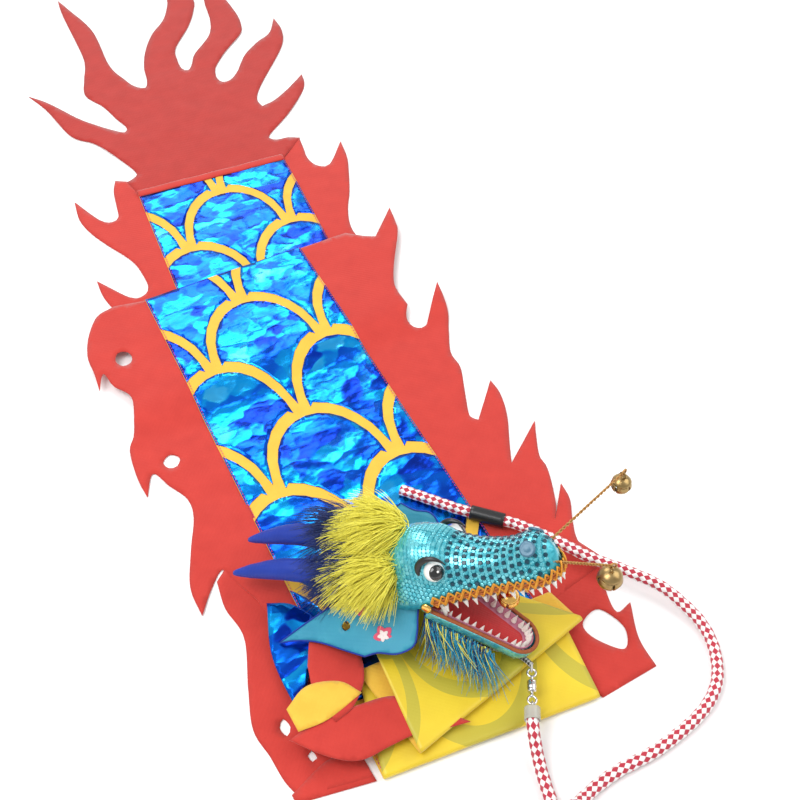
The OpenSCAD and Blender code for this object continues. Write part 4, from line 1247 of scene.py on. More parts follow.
def sectionAt(x):
    table = headLook["sections"]
    x = min(max(x, table[0][0]), table[-1][0])
    i = max(k for k in range(len(table) - 1) if table[k][0] <= x)
    a, b = table[max(i - 1, 0)], table[i]
    c, d = table[i + 1], table[min(i + 2, len(table) - 1)]
    t = (x - b[0]) / (c[0] - b[0])
    return [0.5 * (2 * b[k] + (c[k] - a[k]) * t + (2 * a[k] - 5 * b[k] + 4 * c[k] - d[k]) * t * t
                   + (3 * b[k] - a[k] - 3 * c[k] + d[k]) * t * t * t) for k in (1, 2, 3)]


# turn runs from 0 at the far lip over the crown to 1 at the near lip
def skinPoint(x, turn, out=0.0):
    half, top, square = sectionAt(x)
    angle = pi * turn
    c, s = cos(angle), sin(angle)
    y = (half + out) * copysign(abs(c) ** (2 / square), c)
    z = (top + out) * abs(s) ** (2 / square)
    brow = 2.2 * exp(-((x - 15) / 8) ** 2) * exp(-((abs(turn - 0.5) - 0.17) / 0.09) ** 2)
    nostril = 1.6 * exp(-((x - 82) / 5) ** 2) * exp(-((abs(turn - 0.5) - 0.2) / 0.1) ** 2)
    return Vector((x, y, z + brow + nostril))


def skinNormal(x, turn):
    e, f = 0.6, 0.012
    a = skinPoint(min(x + e, 96), turn) - skinPoint(max(x - e, -38), turn)
    b = skinPoint(x, min(turn + f, 1)) - skinPoint(x, max(turn - f, 0))
    return b.cross(a).normalized()


def makeHeadShell(look, material):
    stations = []
    table = look["sections"]
    for i in range(len(table) - 1):
        stations += [table[i][0] + (table[i + 1][0] - table[i][0]) * k / look["steps"]
            for k in range(look["steps"])]
    stations.append(table[-1][0])
    count, points, faces = look["around"], [], []
    for x in stations:
        points += [headFrame @ skinPoint(x, k / count) * mm for k in range(count + 1)]
    faces += gridFaces(len(stations) - 1, count)
    tip = len(points)
    points.append(onHead(97.2, 0, 12) * mm)
    last = (len(stations) - 1) * (count + 1)
    faces += [(last + k, last + k + 1, tip) for k in range(count)]
    shell = makeMesh("headShell", points, faces, material)
    thicken(shell, look["wall"] * mm, -1.0)
    return finishPiece(shell, "sequin_cloth", "dragon", "head_shell")


def sequinMaterial(name, deep, bright, roughness=0.22):
    material, tree, shader, coords = newMaterial(name,
        {"Metallic": 0.55, "Roughness": roughness, "Coat Weight": 0.5, "Coat Roughness": 0.1})
    # painted glints: each small cell takes a random mix of the deep and the bright colour, standing in for sequins
    # catching the light
    glints = addNode(tree, "ShaderNodeTexVoronoi", feature="F1")
    glints.inputs["Scale"].default_value = 420
    tree.links.new(coords.outputs["Object"], glints.inputs["Vector"])
    tone = tree.nodes.new("ShaderNodeSeparateColor")
    tree.links.new(glints.outputs["Color"], tone.inputs[0])
    tree.links.new(mixColour(tree, tone.outputs[0], deep, bright), shader.inputs["Base Color"])
    addBump(tree, shader, tone.outputs[1], 0.0003, 0.5)
    return material


def wornGroup():
    group, start, end = makeGroup(
        "handling", [("Vector", "NodeSocketVector", None), ("Scale", "NodeSocketFloat", 180.0),
            ("Low", "NodeSocketFloat", 0.25),
                     ("High", "NodeSocketFloat", 0.5)],
                         [("Roughness", "NodeSocketFloat"), ("Mask", "NodeSocketFloat")])
    cloudy = group.nodes.new("ShaderNodeTexNoise")
    cloudy.inputs["Detail"].default_value = 5
    group.links.new(start.outputs["Vector"], cloudy.inputs["Vector"])
    group.links.new(start.outputs["Scale"], cloudy.inputs["Scale"])
    spread = mathNode(group, "SUBTRACT", start.outputs["High"], start.outputs["Low"])
    group.links.new(mathNode(group, "ADD", mathNode(group, "MULTIPLY", spread, cloudy.outputs["Fac"]),
        start.outputs["Low"]), end.inputs["Roughness"])
    group.links.new(cloudy.outputs["Fac"], end.inputs["Mask"])
    return group


groups["worn"] = wornGroup()


def hardMaterial(name, colour, shade=None, metallic=0.0, low=0.2, high=0.4, scale=180.0, coat=0.0):
    material, tree, shader, coords = newMaterial(name,
        {"Metallic": metallic, "Coat Weight": coat, "Coat Roughness": 0.1})
    used = useGroup(tree, groups["worn"], coords.outputs["Object"], {"Scale": scale, "Low": low, "High": high})
    tree.links.new(used.outputs["Roughness"], shader.inputs["Roughness"])
    tree.links.new(mixColour(tree, used.outputs["Mask"], shade or colour, colour), shader.inputs["Base Color"])
    return material


materials.update({
    "headSequins": sequinMaterial("headSequins", (0.04, 0.42, 0.52), (0.2, 0.66, 0.74)),
    "headCloth": sequinMaterial("headCloth", (0.02, 0.34, 0.44), (0.06, 0.5, 0.6), 0.4),
    "darkDots": hardMaterial("darkDots", (0.001, 0.04, 0.07), coat=0.2),
    "goldBraid": hardMaterial("goldBraid", (0.5, 0.14, 0.015), (0.28, 0.06, 0.008), 0.2, 0.35, 0.55, 600),
    "goldThread": hardMaterial("goldThread", (0.85, 0.42, 0.04), (0.6, 0.2, 0.015), 0.35, 0.25, 0.45, 600),
    "brownCord": hardMaterial("brownCord", (0.42, 0.12, 0.03), (0.26, 0.05, 0.012), 0.1, 0.5, 0.75, 500),
    "tooth": hardMaterial("tooth", (0.87, 0.86, 0.82), (0.78, 0.75, 0.68), 0, 0.22, 0.35, 300, 0.4),
    "gum": clothMaterial("gum", (0.56, 0.22, 0.32), (0.42, 0.13, 0.2), 2200, 0.6),
    "mouthRed": clothMaterial("mouthRed", (0.55, 0.02, 0.02), (0.36, 0.01, 0.012), 2200, 0.6),
    "eyeWhite": hardMaterial("eyeWhite", (0.88, 0.88, 0.87), coat=0.8, low=0.08, high=0.15),
    "eyeBlack": hardMaterial("eyeBlack", (0.004, 0.004, 0.005), coat=0.9, low=0.08, high=0.18),
    "lash": hardMaterial("lash", (0.005, 0.005, 0.006), coat=0.3, low=0.3, high=0.5),
    "stud": hardMaterial("stud", (0.07, 0.19, 0.28), (0.05, 0.14, 0.22), 0.1, 0.3, 0.45, 200, 0.2),
    "maneYellow": hardMaterial("maneYellow", (1.0, 0.92, 0.14), (0.8, 0.74, 0.07), 0, 0.5, 0.7, 90),
    "maneNavy": hardMaterial("maneNavy", (0.012, 0.04, 0.22), (0.006, 0.018, 0.1), 0, 0.4, 0.6, 90),
    "beardTeal": hardMaterial("beardTeal", (0.02, 0.4, 0.58), (0.008, 0.2, 0.4), 0, 0.35, 0.5, 120),
    "brass": hardMaterial("brass", (0.5, 0.36, 0.16), (0.3, 0.19, 0.07), 1.0, 0.22, 0.42, 220),
    "goldBell": hardMaterial("goldBell", (0.95, 0.6, 0.17), (0.8, 0.44, 0.1), 1.0, 0.12, 0.28, 200),
    "wire": hardMaterial("wire", (0.6, 0.34, 0.12), (0.35, 0.17, 0.05), 0.9, 0.3, 0.5, 500),
    "steel": hardMaterial("steel", (0.5, 0.5, 0.52), None, 1.0, 0.25, 0.4),
    "hornBlue": clothMaterial("hornBlue", (0.008, 0.04, 0.36), (0.005, 0.024, 0.24), 1600, 0.5, 0.05),
    "earBlue": clothMaterial("earBlue", (0.045, 0.33, 0.46), (0.026, 0.24, 0.38), 1800, 0.5, 0.1),
    "flowerPink": clothMaterial("flowerPink", (0.75, 0.12, 0.2), (0.6, 0.05, 0.12), 2200, 0.7),
    "flowerWhite": clothMaterial("flowerWhite", (0.85, 0.78, 0.76), (0.75, 0.6, 0.6), 2200, 0.7),
})
makeHeadShell(headLook, materials["headCloth"])


# sequins lie in rows over the snout and skull, with dark ones at every third place
def sequinSpots(look):
    plain, dark, row, x = [], [], 0, -30.0
    while x < 93:
        half, top, _ = sectionAt(x)
        girth = pi * (half + top) / 2 * 1.12
        count = max(6, round(girth / look["sequinGap"]))
        for k in range(count):
            turn = (k + 0.5 + 0.5 * (row % 2)) / count
            if not 0.03 < turn < 0.97:
                continue
            spot = headFrame @ skinPoint(x, turn, 0.35) * mm
            out = (headTurn @ skinNormal(x, turn)).normalized()
            along = headTurn @ Vector((1, 0, 0.2))
            eye = dist((x, abs(turn - 0.5)), (13, 0.36)) < 0.1
            if eye:
                continue
            if row % look["dotRows"] == 1 and x > look["dotsFrom"]:
                (dark if k % look["dotStep"] == 0 else plain).append((spot, out, along))
            else:
                plain.append((spot, out, along))
        x += look["sequinGap"] * 0.92
        row += 1
    return plain, dark


plainSpots, darkSpots = sequinSpots(headLook)
sequins = placeCopies("headSequinRows", plainSpots, materials["headSequins"],
                      {"Size": 0.00165, "Depth": 0.00035, "Tip": 0.8, "Sides": 8, "Seed": 8, "Size Spread": 0.08})
finishPiece(sequins, "sequin_cloth")
dots = placeCopies("darkSequinDots", [(s + o * 0.0002, o, a) for s, o, a in darkSpots], materials["darkDots"],
                   {"Size": 0.0016, "Depth": 0.0008, "Tip": 0.8, "Sides": 12, "Seed": 9, "Size Spread": 0.06})
finishPiece(dots, "sequin_cloth")
print("head shell made", len(plainSpots), "sequins")


# the lip line in plan: down the near side, round the nose, and back up the far side
def lipPoint(s, out=0.0, z=0.0):
    run = abs(s)
    if run > 0.32:
        x = 6 + (1 - run) / 0.68 * 72
        half = sectionAt(x)[0] + out
        spot = Vector((x, half if s > 0 else -half, z))
    else:
        angle = run / 0.32 * pi / 2
        half = sectionAt(78)[0] + out
        spot = Vector((78 + (18.8 + out) * cos(angle), copysign(half * sin(angle), s), z))
    return spot


def lipNormal(s):
    a, b = lipPoint(min(s + 0.01, 1)), lipPoint(max(s - 0.01, -1))
    along = (b - a).normalized()
    return along, Vector((along.y, -along.x, 0)) * 1.0


# zigzag braid: two waves that cross, between two edge cords
braidLook = {"waves": 19, "height": 3.9, "middle": 2.9, "out": 1.3, "steps": 480}


def braidLines(look):
    lines = []
    for phase, shift in ((0, 0), (0, 1.3), (pi, 0)):
        line = []
        for i in range(look["steps"] + 1):
            s = -1 + 2 * i / look["steps"]
            around = 2 * pi * look["waves"] * i / look["steps"] + phase
            wave = asin(sin(around)) / (pi / 2)
            line.append(headFrame @ lipPoint(s, look["out"] + 0.5 * cos(around) + shift * 0.4,
                                             look["middle"] + shift + look["height"] * wave) * mm)
        lines.append(line)
    return lines


lipBraid = drawThreads("lipBraid", braidLines(braidLook), materials["goldThread"],
    evenCord(0.0007))
finishPiece(lipBraid, "gold_braid", "dragon", "lip_braid")
edgeLines = [[headFrame @ lipPoint(-1 + 2 * i / 120, 0.9, z) * mm for i in range(121)] for z in (1.4, 3.4)]
braidEdges = drawThreads("lipBraidEdges", edgeLines, materials["goldBraid"],
    evenCord(0.0009, 8))
finishPiece(braidEdges, "gold_braid")
bandPoints = [headFrame @ lipPoint(-1 + 2 * i / 120, 0.55, z) * mm for i in range(121)
    for z in (0.2, 1.5, 2.8, 4.1)]
band = makeMesh("lipBand", bandPoints, gridFaces(120, 3, False, True), materials["goldBraid"])
thicken(band, 0.5 * mm, 0.0)
finishPiece(band, "gold_braid")


# roof of the mouth, slightly domed
def roofGrid(name, material, z, dome, frameOf, outlineOf, slot, body, node):
    points, rings, count = [], 8, 56
    middle = middleOf(outlineOf)
    for r in range(rings + 1):
        for k in range(count):
            rim = outlineOf(2 * pi * k / count)
            spot = middle.lerp(rim, r / rings)
            points.append(frameOf @ Vector((spot.x, spot.y, z + dome * (1 - (r / rings) ** 2))) * mm)
    faces = gridFaces(rings, count, True, True)
    piece = thicken(makeMesh(name, points, faces, material), 0.8 * mm, 0.0)
    return finishPiece(piece, slot, body, node)


def middleOf(outlineOf):
    spots = [outlineOf(2 * pi * k / 16) for k in range(16)]
    return sum(spots, Vector((0, 0, 0))) / 16


def stadium(x0, r0, x1, r1):
    def outline(angle):
        c, s = cos(angle), sin(angle)
        if c > 0.12:
            return Vector((x1 + r1 * c, r1 * s, 0))
        if c < -0.12:
            return Vector((x0 + r0 * c, r0 * s, 0))
        t = 0.5 + c / 0.24
        return Vector((x0 + (x1 - x0) * t, copysign(r0 + (r1 - r0) * t, s), 0))
    return outline


roofGrid("palateLining", materials["mouthRed"], -0.6, 5.0, headFrame, stadium(6, 18, 79, 15), "mouth_lining",
    "dragon", "palate_lining")


# ---- teeth: small curved points standing in two rows
def toothSpots(rows, frameOf, down):
    spots = []
    turnOf = frameOf.to_3x3()
    for place, along in rows:
        spots.append((frameOf @ place * mm, (turnOf @ Vector((0, 0, -1 if down else 1))).normalized(),
            turnOf @ along))
    return spots


upperRows = []
for i in range(29):
    s = -0.94 + 1.88 * i / 28
    along, _ = lipNormal(s)
    upperRows.append((lipPoint(s, -2.2, -2.4), along))
upperTeeth = placeCopies("upperTeeth", toothSpots(upperRows, headFrame, True), materials["tooth"],
                         {"Size": 0.0021, "Depth": 0.0062, "Tip": 0.12, "Sides": 8, "Size Spread": 0.12,
                             "Seed": 12})
finishPiece(upperTeeth, "tooth_plastic", "dragon", "upper_teeth")


def curvedTooth(place, lean, length):
    return [headFrame @ (Vector(place) + Vector(lean) * t * t + Vector((0, 0, -length * t)))
        for t in [i / 8 for i in range(9)]]


fangPoints, fangFaces = [], []
for number, side in enumerate((1, -1)):
    path = curvedTooth((9, side * 20.6, -0.5), (-3, side * 1.5, 0), 15.5)
    base = len(fangPoints)
    for i, spot in enumerate(path):
        size = 3.8 * (1 - i / 8) ** 0.75 + 0.12
        for k in range(14):
            a = 2 * pi * k / 14
            fangPoints.append((spot + headTurn @ Vector((size * cos(a), size * sin(a), 0)))
                * mm)
    fangFaces += gridFaces(8, 14, True, True, base)
    fangFaces += [tuple(base + k for k in range(14)), tuple(base + 8 * 14 + k for k in reversed(range(14)))]
finishPiece(makeMesh("longFangs", fangPoints, fangFaces, materials["tooth"]), "tooth_plastic", "dragon", "fangs")


# ---- lower jaw: a shallow tray with a soft lining, teeth and a corded rim
jawLook = {"length": 80, "back": 26.3, "front": 14, "wall": 2.0, "depth": 11.5, "rimUp": -2.4}


def jawPoint(s, grow=0.0, z=0.0):
    straight = 62 / (62 + 24)
    run = abs(s)
    if run > 1 - straight:
        t = (1 - run) / straight
        half = jawLook["back"] + (jawLook["front"] + 1.2 - jawLook["back"]) * (t ** 0.92) + grow
        return Vector((2 + t * 64, copysign(half, s), z))
    angle = run / (1 - straight) * pi / 2
    half = jawLook["front"] + 1.2 + grow
    return Vector((66 + (14 + grow) * cos(angle), copysign(half * sin(angle), s), z))


def makeJaw(look, material):
    count, points, faces = 96, [], []
    profile = [(0.0, look["rimUp"]), (0.2, -5), (0.0, -8.5), (-1.2, -11.2), (-4, -12.8), (-9, -13.2)]
    for i in range(count + 1):
        s = -1 + 2 * i / count
        points += [jawFrame @ jawPoint(s, g, z) * mm for g, z in profile]
    n = len(profile)
    faces += gridFaces(count, n - 1)
    floor = [i * n + n - 1 for i in range(count + 1)]
    for i in range(count // 2):
        a, b = floor[i], floor[i + 1]
        c, d = floor[count - i - 1], floor[count - i]
        if i + 1 < count - i - 1:
            faces.append((a, d, c, b))
    jaw = thicken(makeMesh("lowerJaw", points, faces, material), look["wall"] * mm, 1.0)
    return finishPiece(jaw, "sequin_cloth", "jaw", "lower_jaw")


makeJaw(jawLook, materials["headSequins"])
liningProfile = ((-2.3, -2.8), (-2.8, -6), (-4.2, -8.2), (-8, -8.8), (-12, -7.6))
liningPoints = [jawFrame @ jawPoint(-1 + 2 * i / 80, g, z) * mm for i in range(81) for g, z in liningProfile]
liningFaces = gridFaces(80, 4, False, True)
for i in range(40):
    a, b = i * 5 + 4, (i + 1) * 5 + 4
    c, d = (80 - i - 1) * 5 + 4, (80 - i) * 5 + 4
    if b < c:
        liningFaces.append((a, b, c, d))
lining = makeMesh("jawLining", liningPoints, liningFaces, [materials["gum"], materials["mouthRed"]])
for face in lining.data.polygons:     # the floor is red, the sides mauve
    face.material_index = 1 if face.index >= 320 or face.index % 4 == 3 else 0
finishPiece(thicken(lining, 0.7 * mm, 0.0), "gum_cloth", "jaw", "jaw_lining")
lowerRows = []
for i in range(27):
    s = -0.9 + 1.8 * i / 26
    a, b = jawPoint(s + 0.01), jawPoint(s - 0.01)
    lowerRows.append((jawPoint(s, -4.4, -6.6), (b - a).normalized()))
lowerTeeth = placeCopies("lowerTeeth", toothSpots(lowerRows, jawFrame, False), materials["tooth"],
                         {"Size": 0.0024, "Depth": 0.0078, "Tip": 0.1, "Sides": 8, "Size Spread": 0.12, "Seed": 13})
finishPiece(lowerTeeth, "tooth_plastic", "jaw", "lower_teeth")
trimLines = []
for phase in (0, 2 * pi / 3, 4 * pi / 3):
    line = []
    for i in range(481):
        s = -0.98 + 1.96 * i / 480
        a = i * 0.62 + phase
        line.append(jawFrame @ jawPoint(s, 1.1 + 0.75 * cos(a), -3.0 + 0.75 * sin(a)) * mm)
    trimLines.append(line)
jawTrim = drawThreads("jawTrim", trimLines, materials["brownCord"],
    evenCord(0.00085))
finishPiece(jawTrim, "corded_trim", "jaw", "jaw_trim")
print("jaw made")


# ---- eyes, lashes and nostrils

eyeLook = {"place": (14.5, 22.4, 25), "radius": 7.4, "pupil": 5.3}
for side, name in ((1, "eyeLeft"), (-1, "eyeRight")):
    spot = onHead(eyeLook["place"][0], side * eyeLook["place"][1], eyeLook["place"][2])
    look = (headTurn @ Vector((0.34, side, 0.16))).normalized()
    r = eyeLook["radius"]
    ball = lathe(name, spot - look * r * 0.5, look, [(r * 0.5 + r * sin(a), r * cos(a)) for a in
                 [radians(t) for t in range(-30, 91, 8)]] + [(r * 1.5, 0.02)], materials["eyeWhite"], 36)
    finishPiece(ball, "eye_white", "dragon", "eye_left" if side > 0 else "eye_right")
    aim = (headTurn @ Vector((0.85, side * 0.75, 0.22))).normalized()
    wide = asin(eyeLook["pupil"] / r)
    pupil = lathe(name + "Pupil", spot, aim, [((r + 0.35) * cos(wide * (1 - k / 7)),
        (r + 0.35) * sin(wide * (1 - k / 7)) + 0.02)
                                             for k in range(8)], materials["eyeBlack"], 28)
    finishPiece(pupil, "eye_black", "dragon", *(["pupils"] if side > 0 else []))
    glint = lathe(name + "Glint", spot + aim * (r + 0.45) + up * 1.9, aim, [(0, 0.95), (0.25, 0.7), (0.35, 0.02)],
        materials["eyeWhite"], 14)
    finishPiece(glint, "eye_white")
    curl = []
    for i in range(25):
        t = i / 24
        angle = radians(-70 + 235 * t)
        reach = r + 2.6 + 2.4 * t
        curl.append(onHead(eyeLook["place"][0] - reach * cos(angle) * 0.95 - 1,
            side * (eyeLook["place"][1] + 2.2 - 2.5 * t),
                           eyeLook["place"][2] + reach * sin(angle) * 0.8 + 1.5))
    lash = tubeMesh(name + "Lash", curl, lambda t: 0.5 + 2.0 * sin(pi * min(1, t * 1.05)) ** 0.8, 12,
        materials["lash"])
    finishPiece(lash, "eye_black", "dragon", *(["eye_lashes"] if side > 0 else []))
    nose = skinPoint(83, 0.5 - side * 0.2, 0.2)
    out = (headTurn @ skinNormal(83, 0.5 - side * 0.2)).normalized()
    studPiece = lathe("nostrilLeft" if side > 0 else "nostrilRight", headFrame @ nose - out * 0.6, out,
                      [(0, 5.6), (1.0, 5.7), (1.8, 5.2), (2.0, 4.2), (1.7, 3.4), (2.1, 2.0), (2.3, 0.02)],
                          materials["stud"], 30)
    finishPiece(studPiece, "nostril_stud", "dragon", *(["nostril_studs"] if side > 0 else []))
print("eyes made")


# ---- fur: threads drawn over rounded lobes, combed back and down

furLook = {"maneThreads": 1100, "navyThreads": 520, "beardThreads": 190, "steps": 8, "seed": 21}
pick = random.Random(furLook["seed"])
noise.seed_set(furLook["seed"])     # the wobble of the strands is then the same on every run


def tuft(root, radius, outward, comb, length, count, curl=4.0, spread=0.55):
    lines = []
    outward, comb = Vector(outward).normalized(), Vector(comb).normalized()
    while len(lines) < count:
        away = Vector((pick.gauss(0, 1), pick.gauss(0, 1), pick.gauss(0, 1))).normalized()
        if away.dot(outward) < -0.25:
            continue
        start = Vector(root) + away * radius * pick.uniform(0.25, 1.0)
        way = (comb + away * spread + Vector((pick.gauss(0, 0.16), pick.gauss(0, 0.16),
            pick.gauss(0, 0.16)))).normalized()
        reach = length * pick.uniform(0.62, 1.1)
        line, spot, heading = [], start, (away * 0.9 + way * 0.5).normalized()
        for k in range(furLook["steps"]):
            line.append(spot * mm)
            heading = (heading * 0.55 + way * 0.62 + Vector((0, 0, -0.07 * k))).normalized()
            wobble = noise.noise_vector(spot / 16.0) * curl * 0.16
            spot = spot + (heading + wobble * 0.3).normalized() * reach / (furLook["steps"] - 1)
            if spot.z < 14:
                spot.z = 14 + pick.uniform(0, 1.5)
        lines.append(line)
    return lines


def furPiece(name, lines, colour, radius, slot, stands=()):
    piece = drawThreads(name, lines, materials[colour],
        {"Radius": radius, "Tip": 0.25, "Sides": 3, "Spread": 0.25, "Seed": 6})
    return finishPiece(piece, slot, "dragon", *stands)


furPiece("maneLeft", tuft(headAt + Vector((-18, 40, 30)), 13, (0.1, 0.2, 1), (-0.8, 0.36, -0.25), 38,
    furLook["maneThreads"])
         + tuft(headAt + Vector((-34, 50, 18)), 11, (0, 0.3, 1), (-0.85, 0.3, -0.3), 30, 420), "maneYellow", 0.0005,
             "mane_fur", ["mane_left"])
furPiece("maneRight", tuft(headAt + Vector((-38, 18, 18)), 13, (-0.4, -0.4, 1), (-0.85, 0.16, -0.25), 32,
    furLook["maneThreads"] - 150)
         + tuft(headAt + Vector((-54, 32, 4)), 10, (-0.5, -0.3, 1), (-0.9, 0.2, -0.3), 24, 380), "maneYellow",
             0.0005, "mane_fur", ["mane_right"])
furPiece("maneStrands", tuft(headAt + Vector((-34, 64, 4)), 12, (0, 0.2, 1), (-0.82, 0.45, -0.2), 44,
    furLook["navyThreads"])
         + tuft(headAt + Vector((-46, 36, 12)), 12, (-0.2, 0, 1), (-0.85, 0.3, -0.25), 34, 160)
         + tuft(headAt + Vector((-58, 44, -14)), 10, (-0.2, 0, 1), (-0.85, 0.3, -0.3), 28,
             furLook["navyThreads"] - 120),
         "maneNavy", 0.0005, "mane_navy", ["mane_strands"])


def beardLines(count, x0, x1, length, colourShift):
    lines = []
    for _ in range(count):
        x = pick.uniform(x0, x1)
        start = Vector((x, -20 - pick.uniform(0, 5), -1.05 * (x + 8) - 9 - pick.uniform(0, 4)))
        way = Vector((pick.gauss(-0.15, 0.5), pick.gauss(-0.55, 0.3), -1)).normalized()
        reach = length * pick.uniform(0.55, 1.1)
        spot, heading, line = start, Vector((0, -0.9, -0.4)).normalized(), []
        for _ in range(8):
            world = headFrame @ spot
            if world.z < 15:
                spot = headFrame.inverted() @ Vector((world.x, world.y, 15 + colourShift))
            line.append(headFrame @ spot * mm)
            heading = (heading * 0.6 + way * 0.5).normalized()
            spot = spot + heading * reach / 7
        lines.append(line)
    return lines


furPiece("beardTeal", beardLines(furLook["beardThreads"], -8, 30, 34, 0.4), "beardTeal", 0.00042, "beard_thread",
    ["beard"])
furPiece("beardNavy", beardLines(70, -10, 26, 32, 0.9), "maneNavy", 0.00042, "beard_thread")
furPiece("beardGold", beardLines(60, -8, 28, 30, 1.3), "maneYellow", 0.00042, "beard_thread")
print("fur made")


# ---- horns: stuffed cloth points that curve back

hornLook = {"sides": 24, "steps": 22, "wrinkle": 0.35}


def makeHorn(name, points, sizes, node):
    path = smoothPath([headAt + Vector(p) for p in points], 4)

    def size(t):
        k = t * (len(sizes) - 1)
        i = min(int(k), len(sizes) - 2)
        return sizes[i] + (sizes[i + 1] - sizes[i]) * (k - i)

    horn = tubeMesh(name, path, size, hornLook["sides"], materials["hornBlue"],
                    lambda angle, s: hornLook["wrinkle"]
                        * noise.noise(Vector((cos(angle) * 1.4, sin(angle) * 1.4, s / 7.0))))
    finishPiece(horn, "horn_cloth", "dragon", node)


makeHorn("hornLeft", [(-40, 62, 0), (-56, 82, -6), (-72, 98, -12), (-88, 112, -22), (-99, 121, -29)],
    [9.5, 9.6, 9.2, 8.4, 7.2, 5.2, 1.6], "horn_left")
makeHorn("hornRight", [(-58, 48, -10), (-76, 66, -16), (-90, 80, -22), (-106, 94, -31), (-120, 105, -38)],
    [9.5, 9.6, 9.2, 8.4, 7.2, 5.2, 1.6], "horn_right")


# ---- ears: cut flaps with a printed flower

earLook = {
    "right": (Vector((-28, -9, -4)), (-32, 17, 152), Vector((0, 0, 0))),
    "left": (Vector((26, 54, -18)), (-34, 10, 124), Vector((-2, -6, -5))),
    "size": {"right": 1.0, "left": 0.78},
    "outline": [(0, 16), (4, 24), (16, 27), (30, 24), (40, 25, 1), (56, 18), (74, 10), (90, 6), (106, 5, 1),
        (86, -4),
                (66, -12), (52, -16), (44, -24, 1), (28, -21), (12, -23), (2, -17), (-4, -6), (-2, 6)],
    "hole": [(48, 3), (53, 5), (55, 1), (50, -2)],
}


def earHeight(x, y):
    cup = 3.4 * (y / 25) ** 2 + 2.0 * sin(x / 17) * exp(-((x - 60) / 60) ** 2) - 0.0009 * x * x
    return cup + 0.5 * ripple(x, y, 19.0, 30)


def makeEar(name, key, body, node):
    at, turnBy, shift = earLook[key]
    frameOf = Matrix.Translation(headAt + at + shift) @ turned(*turnBy)
    size = earLook["size"][key]
    loops = [[Vector((p.x * size, p.y * size)) for p in smoothOutline(earLook[part], (0, 0), step)] for part,
        step in (("outline", 3.0), ("hole", 2.0))]
    flat, faces = fillOutline(loops, 3.4)
    points = [frameOf @ Vector((p.x, p.y, earHeight(p.x, p.y))) * mm for p in flat]
    ear = makeMesh(name, points, faces, materials["earBlue"])
    ear["flatArea"] = meshArea(ear)
    thicken(ear, 0.9 * mm, 0.0)
    declareSheet(ear, 50, 110, held="laid", body=body, slot="ear_cloth", stands=[node])
    rim = [frameOf @ Vector((p.x, p.y, earHeight(p.x, p.y) + 0.3)) * mm for p in loops[0]]
    edging = drawThreads(name + "Edging", [rim + [rim[0]]], materials["hornBlue"],
        evenCord(0.00065))
    finishPiece(edging, "ear_cloth", body)
    return frameOf


earFrame = makeEar("earRight", "right", "right_ear", "ear_right")
makeEar("earLeft", "left", "left_ear", "ear_left")


def petalPiece(name, frameOf, centre, count, reach, wide, lift, colour, body, stands=()):
    points, faces = [], []
    for petal in range(count):
        base = len(points)
        a = 2 * pi * petal / count
        for i in range(7):
            for k in range(-3, 4):
                t = i / 6
                half = wide * sin(pi * min(0.98, t * 0.85 + 0.08)) * k / 3
                spot = Vector((cos(a) * reach * t - sin(a) * half,
                    sin(a) * reach * t + cos(a) * half,
                               lift + 0.5 * sin(pi * t)))
                points.append(frameOf @ (Vector(centre) + spot) * mm)
        faces += gridFaces(6, 6, False, True, base)
    piece = thicken(makeMesh(name, points, faces, materials[colour]), 0.35 * mm, 0.0)
    finishPiece(piece, "flower_print", body, *stands)


petalPiece("earFlower", earFrame, (24, 13, 0), 5, 7.6, 3.0, 2.2, "flowerPink", "right_ear", ["ear_flower"])
petalPiece("earFlowerInner", earFrame, (24, 13, 0), 5, 4.4, 1.5, 2.9, "flowerWhite", "right_ear")
petalPiece("earFlowerSmall", earFrame, (38, -8, 0), 5, 4.6, 1.9, 1.4, "flowerPink", "right_ear")
print("horns and ears made")


# ---- neck: gathered sleeve over a wire hoop, joined to the end of the strip

neckLook = {"folds": 17, "depth": 1.6, "length": 25}
neckPoints, neckSides = [], 136
for i in range(13):
    t = i / 12
    radius = 26.6 - 8 * t
    for k in range(neckSides):
        a = 2 * pi * k / neckSides
        pleat = neckLook["depth"] * (0.25 + t) * sin(neckLook["folds"] * a + 1.5 * sin(2 * a)) * 0.6
        neckPoints.append(onHead(-37 - neckLook["length"] * t, (radius + pleat) * cos(a),
            14 + (radius + pleat) * sin(a)) * mm)
sleeve = makeMesh("neckSleeve", neckPoints, gridFaces(12, neckSides, True, True), materials["yellowCloth"])
thicken(sleeve, 0.8 * mm, -1.0)
finishPiece(sleeve, "yellow_cloth", "dragon", "neck_sleeve")
hoop = ringMesh("neckHoop", onHead(-41, 0, 14), headTurn @ Vector((1, 0, 0)), 22.4, 1.4,
    materials["metal"], "hoop_wire", "dragon", 48, 10)
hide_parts("neck_hoop")


# ---- rivets, whiskers and bells

for side in (1, -1):
    way = (headTurn @ Vector((0, side, 0))).normalized()
    rivet = lathe("jawRivet" + ("Left" if side > 0 else "Right"), onHead(0, side * 23, 0), way,
                  [(0, 3.2), (0.8, 3.2), (0.8, 1.98), (6.6, 1.98), (6.7, 4.0), (7.4, 3.9), (8.0, 3.0), (8.3, 1.4),
                      (8.35, 0.02)],
                  materials["goldBell"], 28)
    finishPiece(rivet, "rivet_metal", "dragon", *(["jaw_rivets"] if side > 0 else []))

bellLook = {
    "ring": 2.6, "ringWire": 0.7, "stem": 0.6, "mouthStem": 8.0, "mouthRadius": 7.5,
    "wall": 0.8, "pellet": 5.0, "gap": 0.15,
}


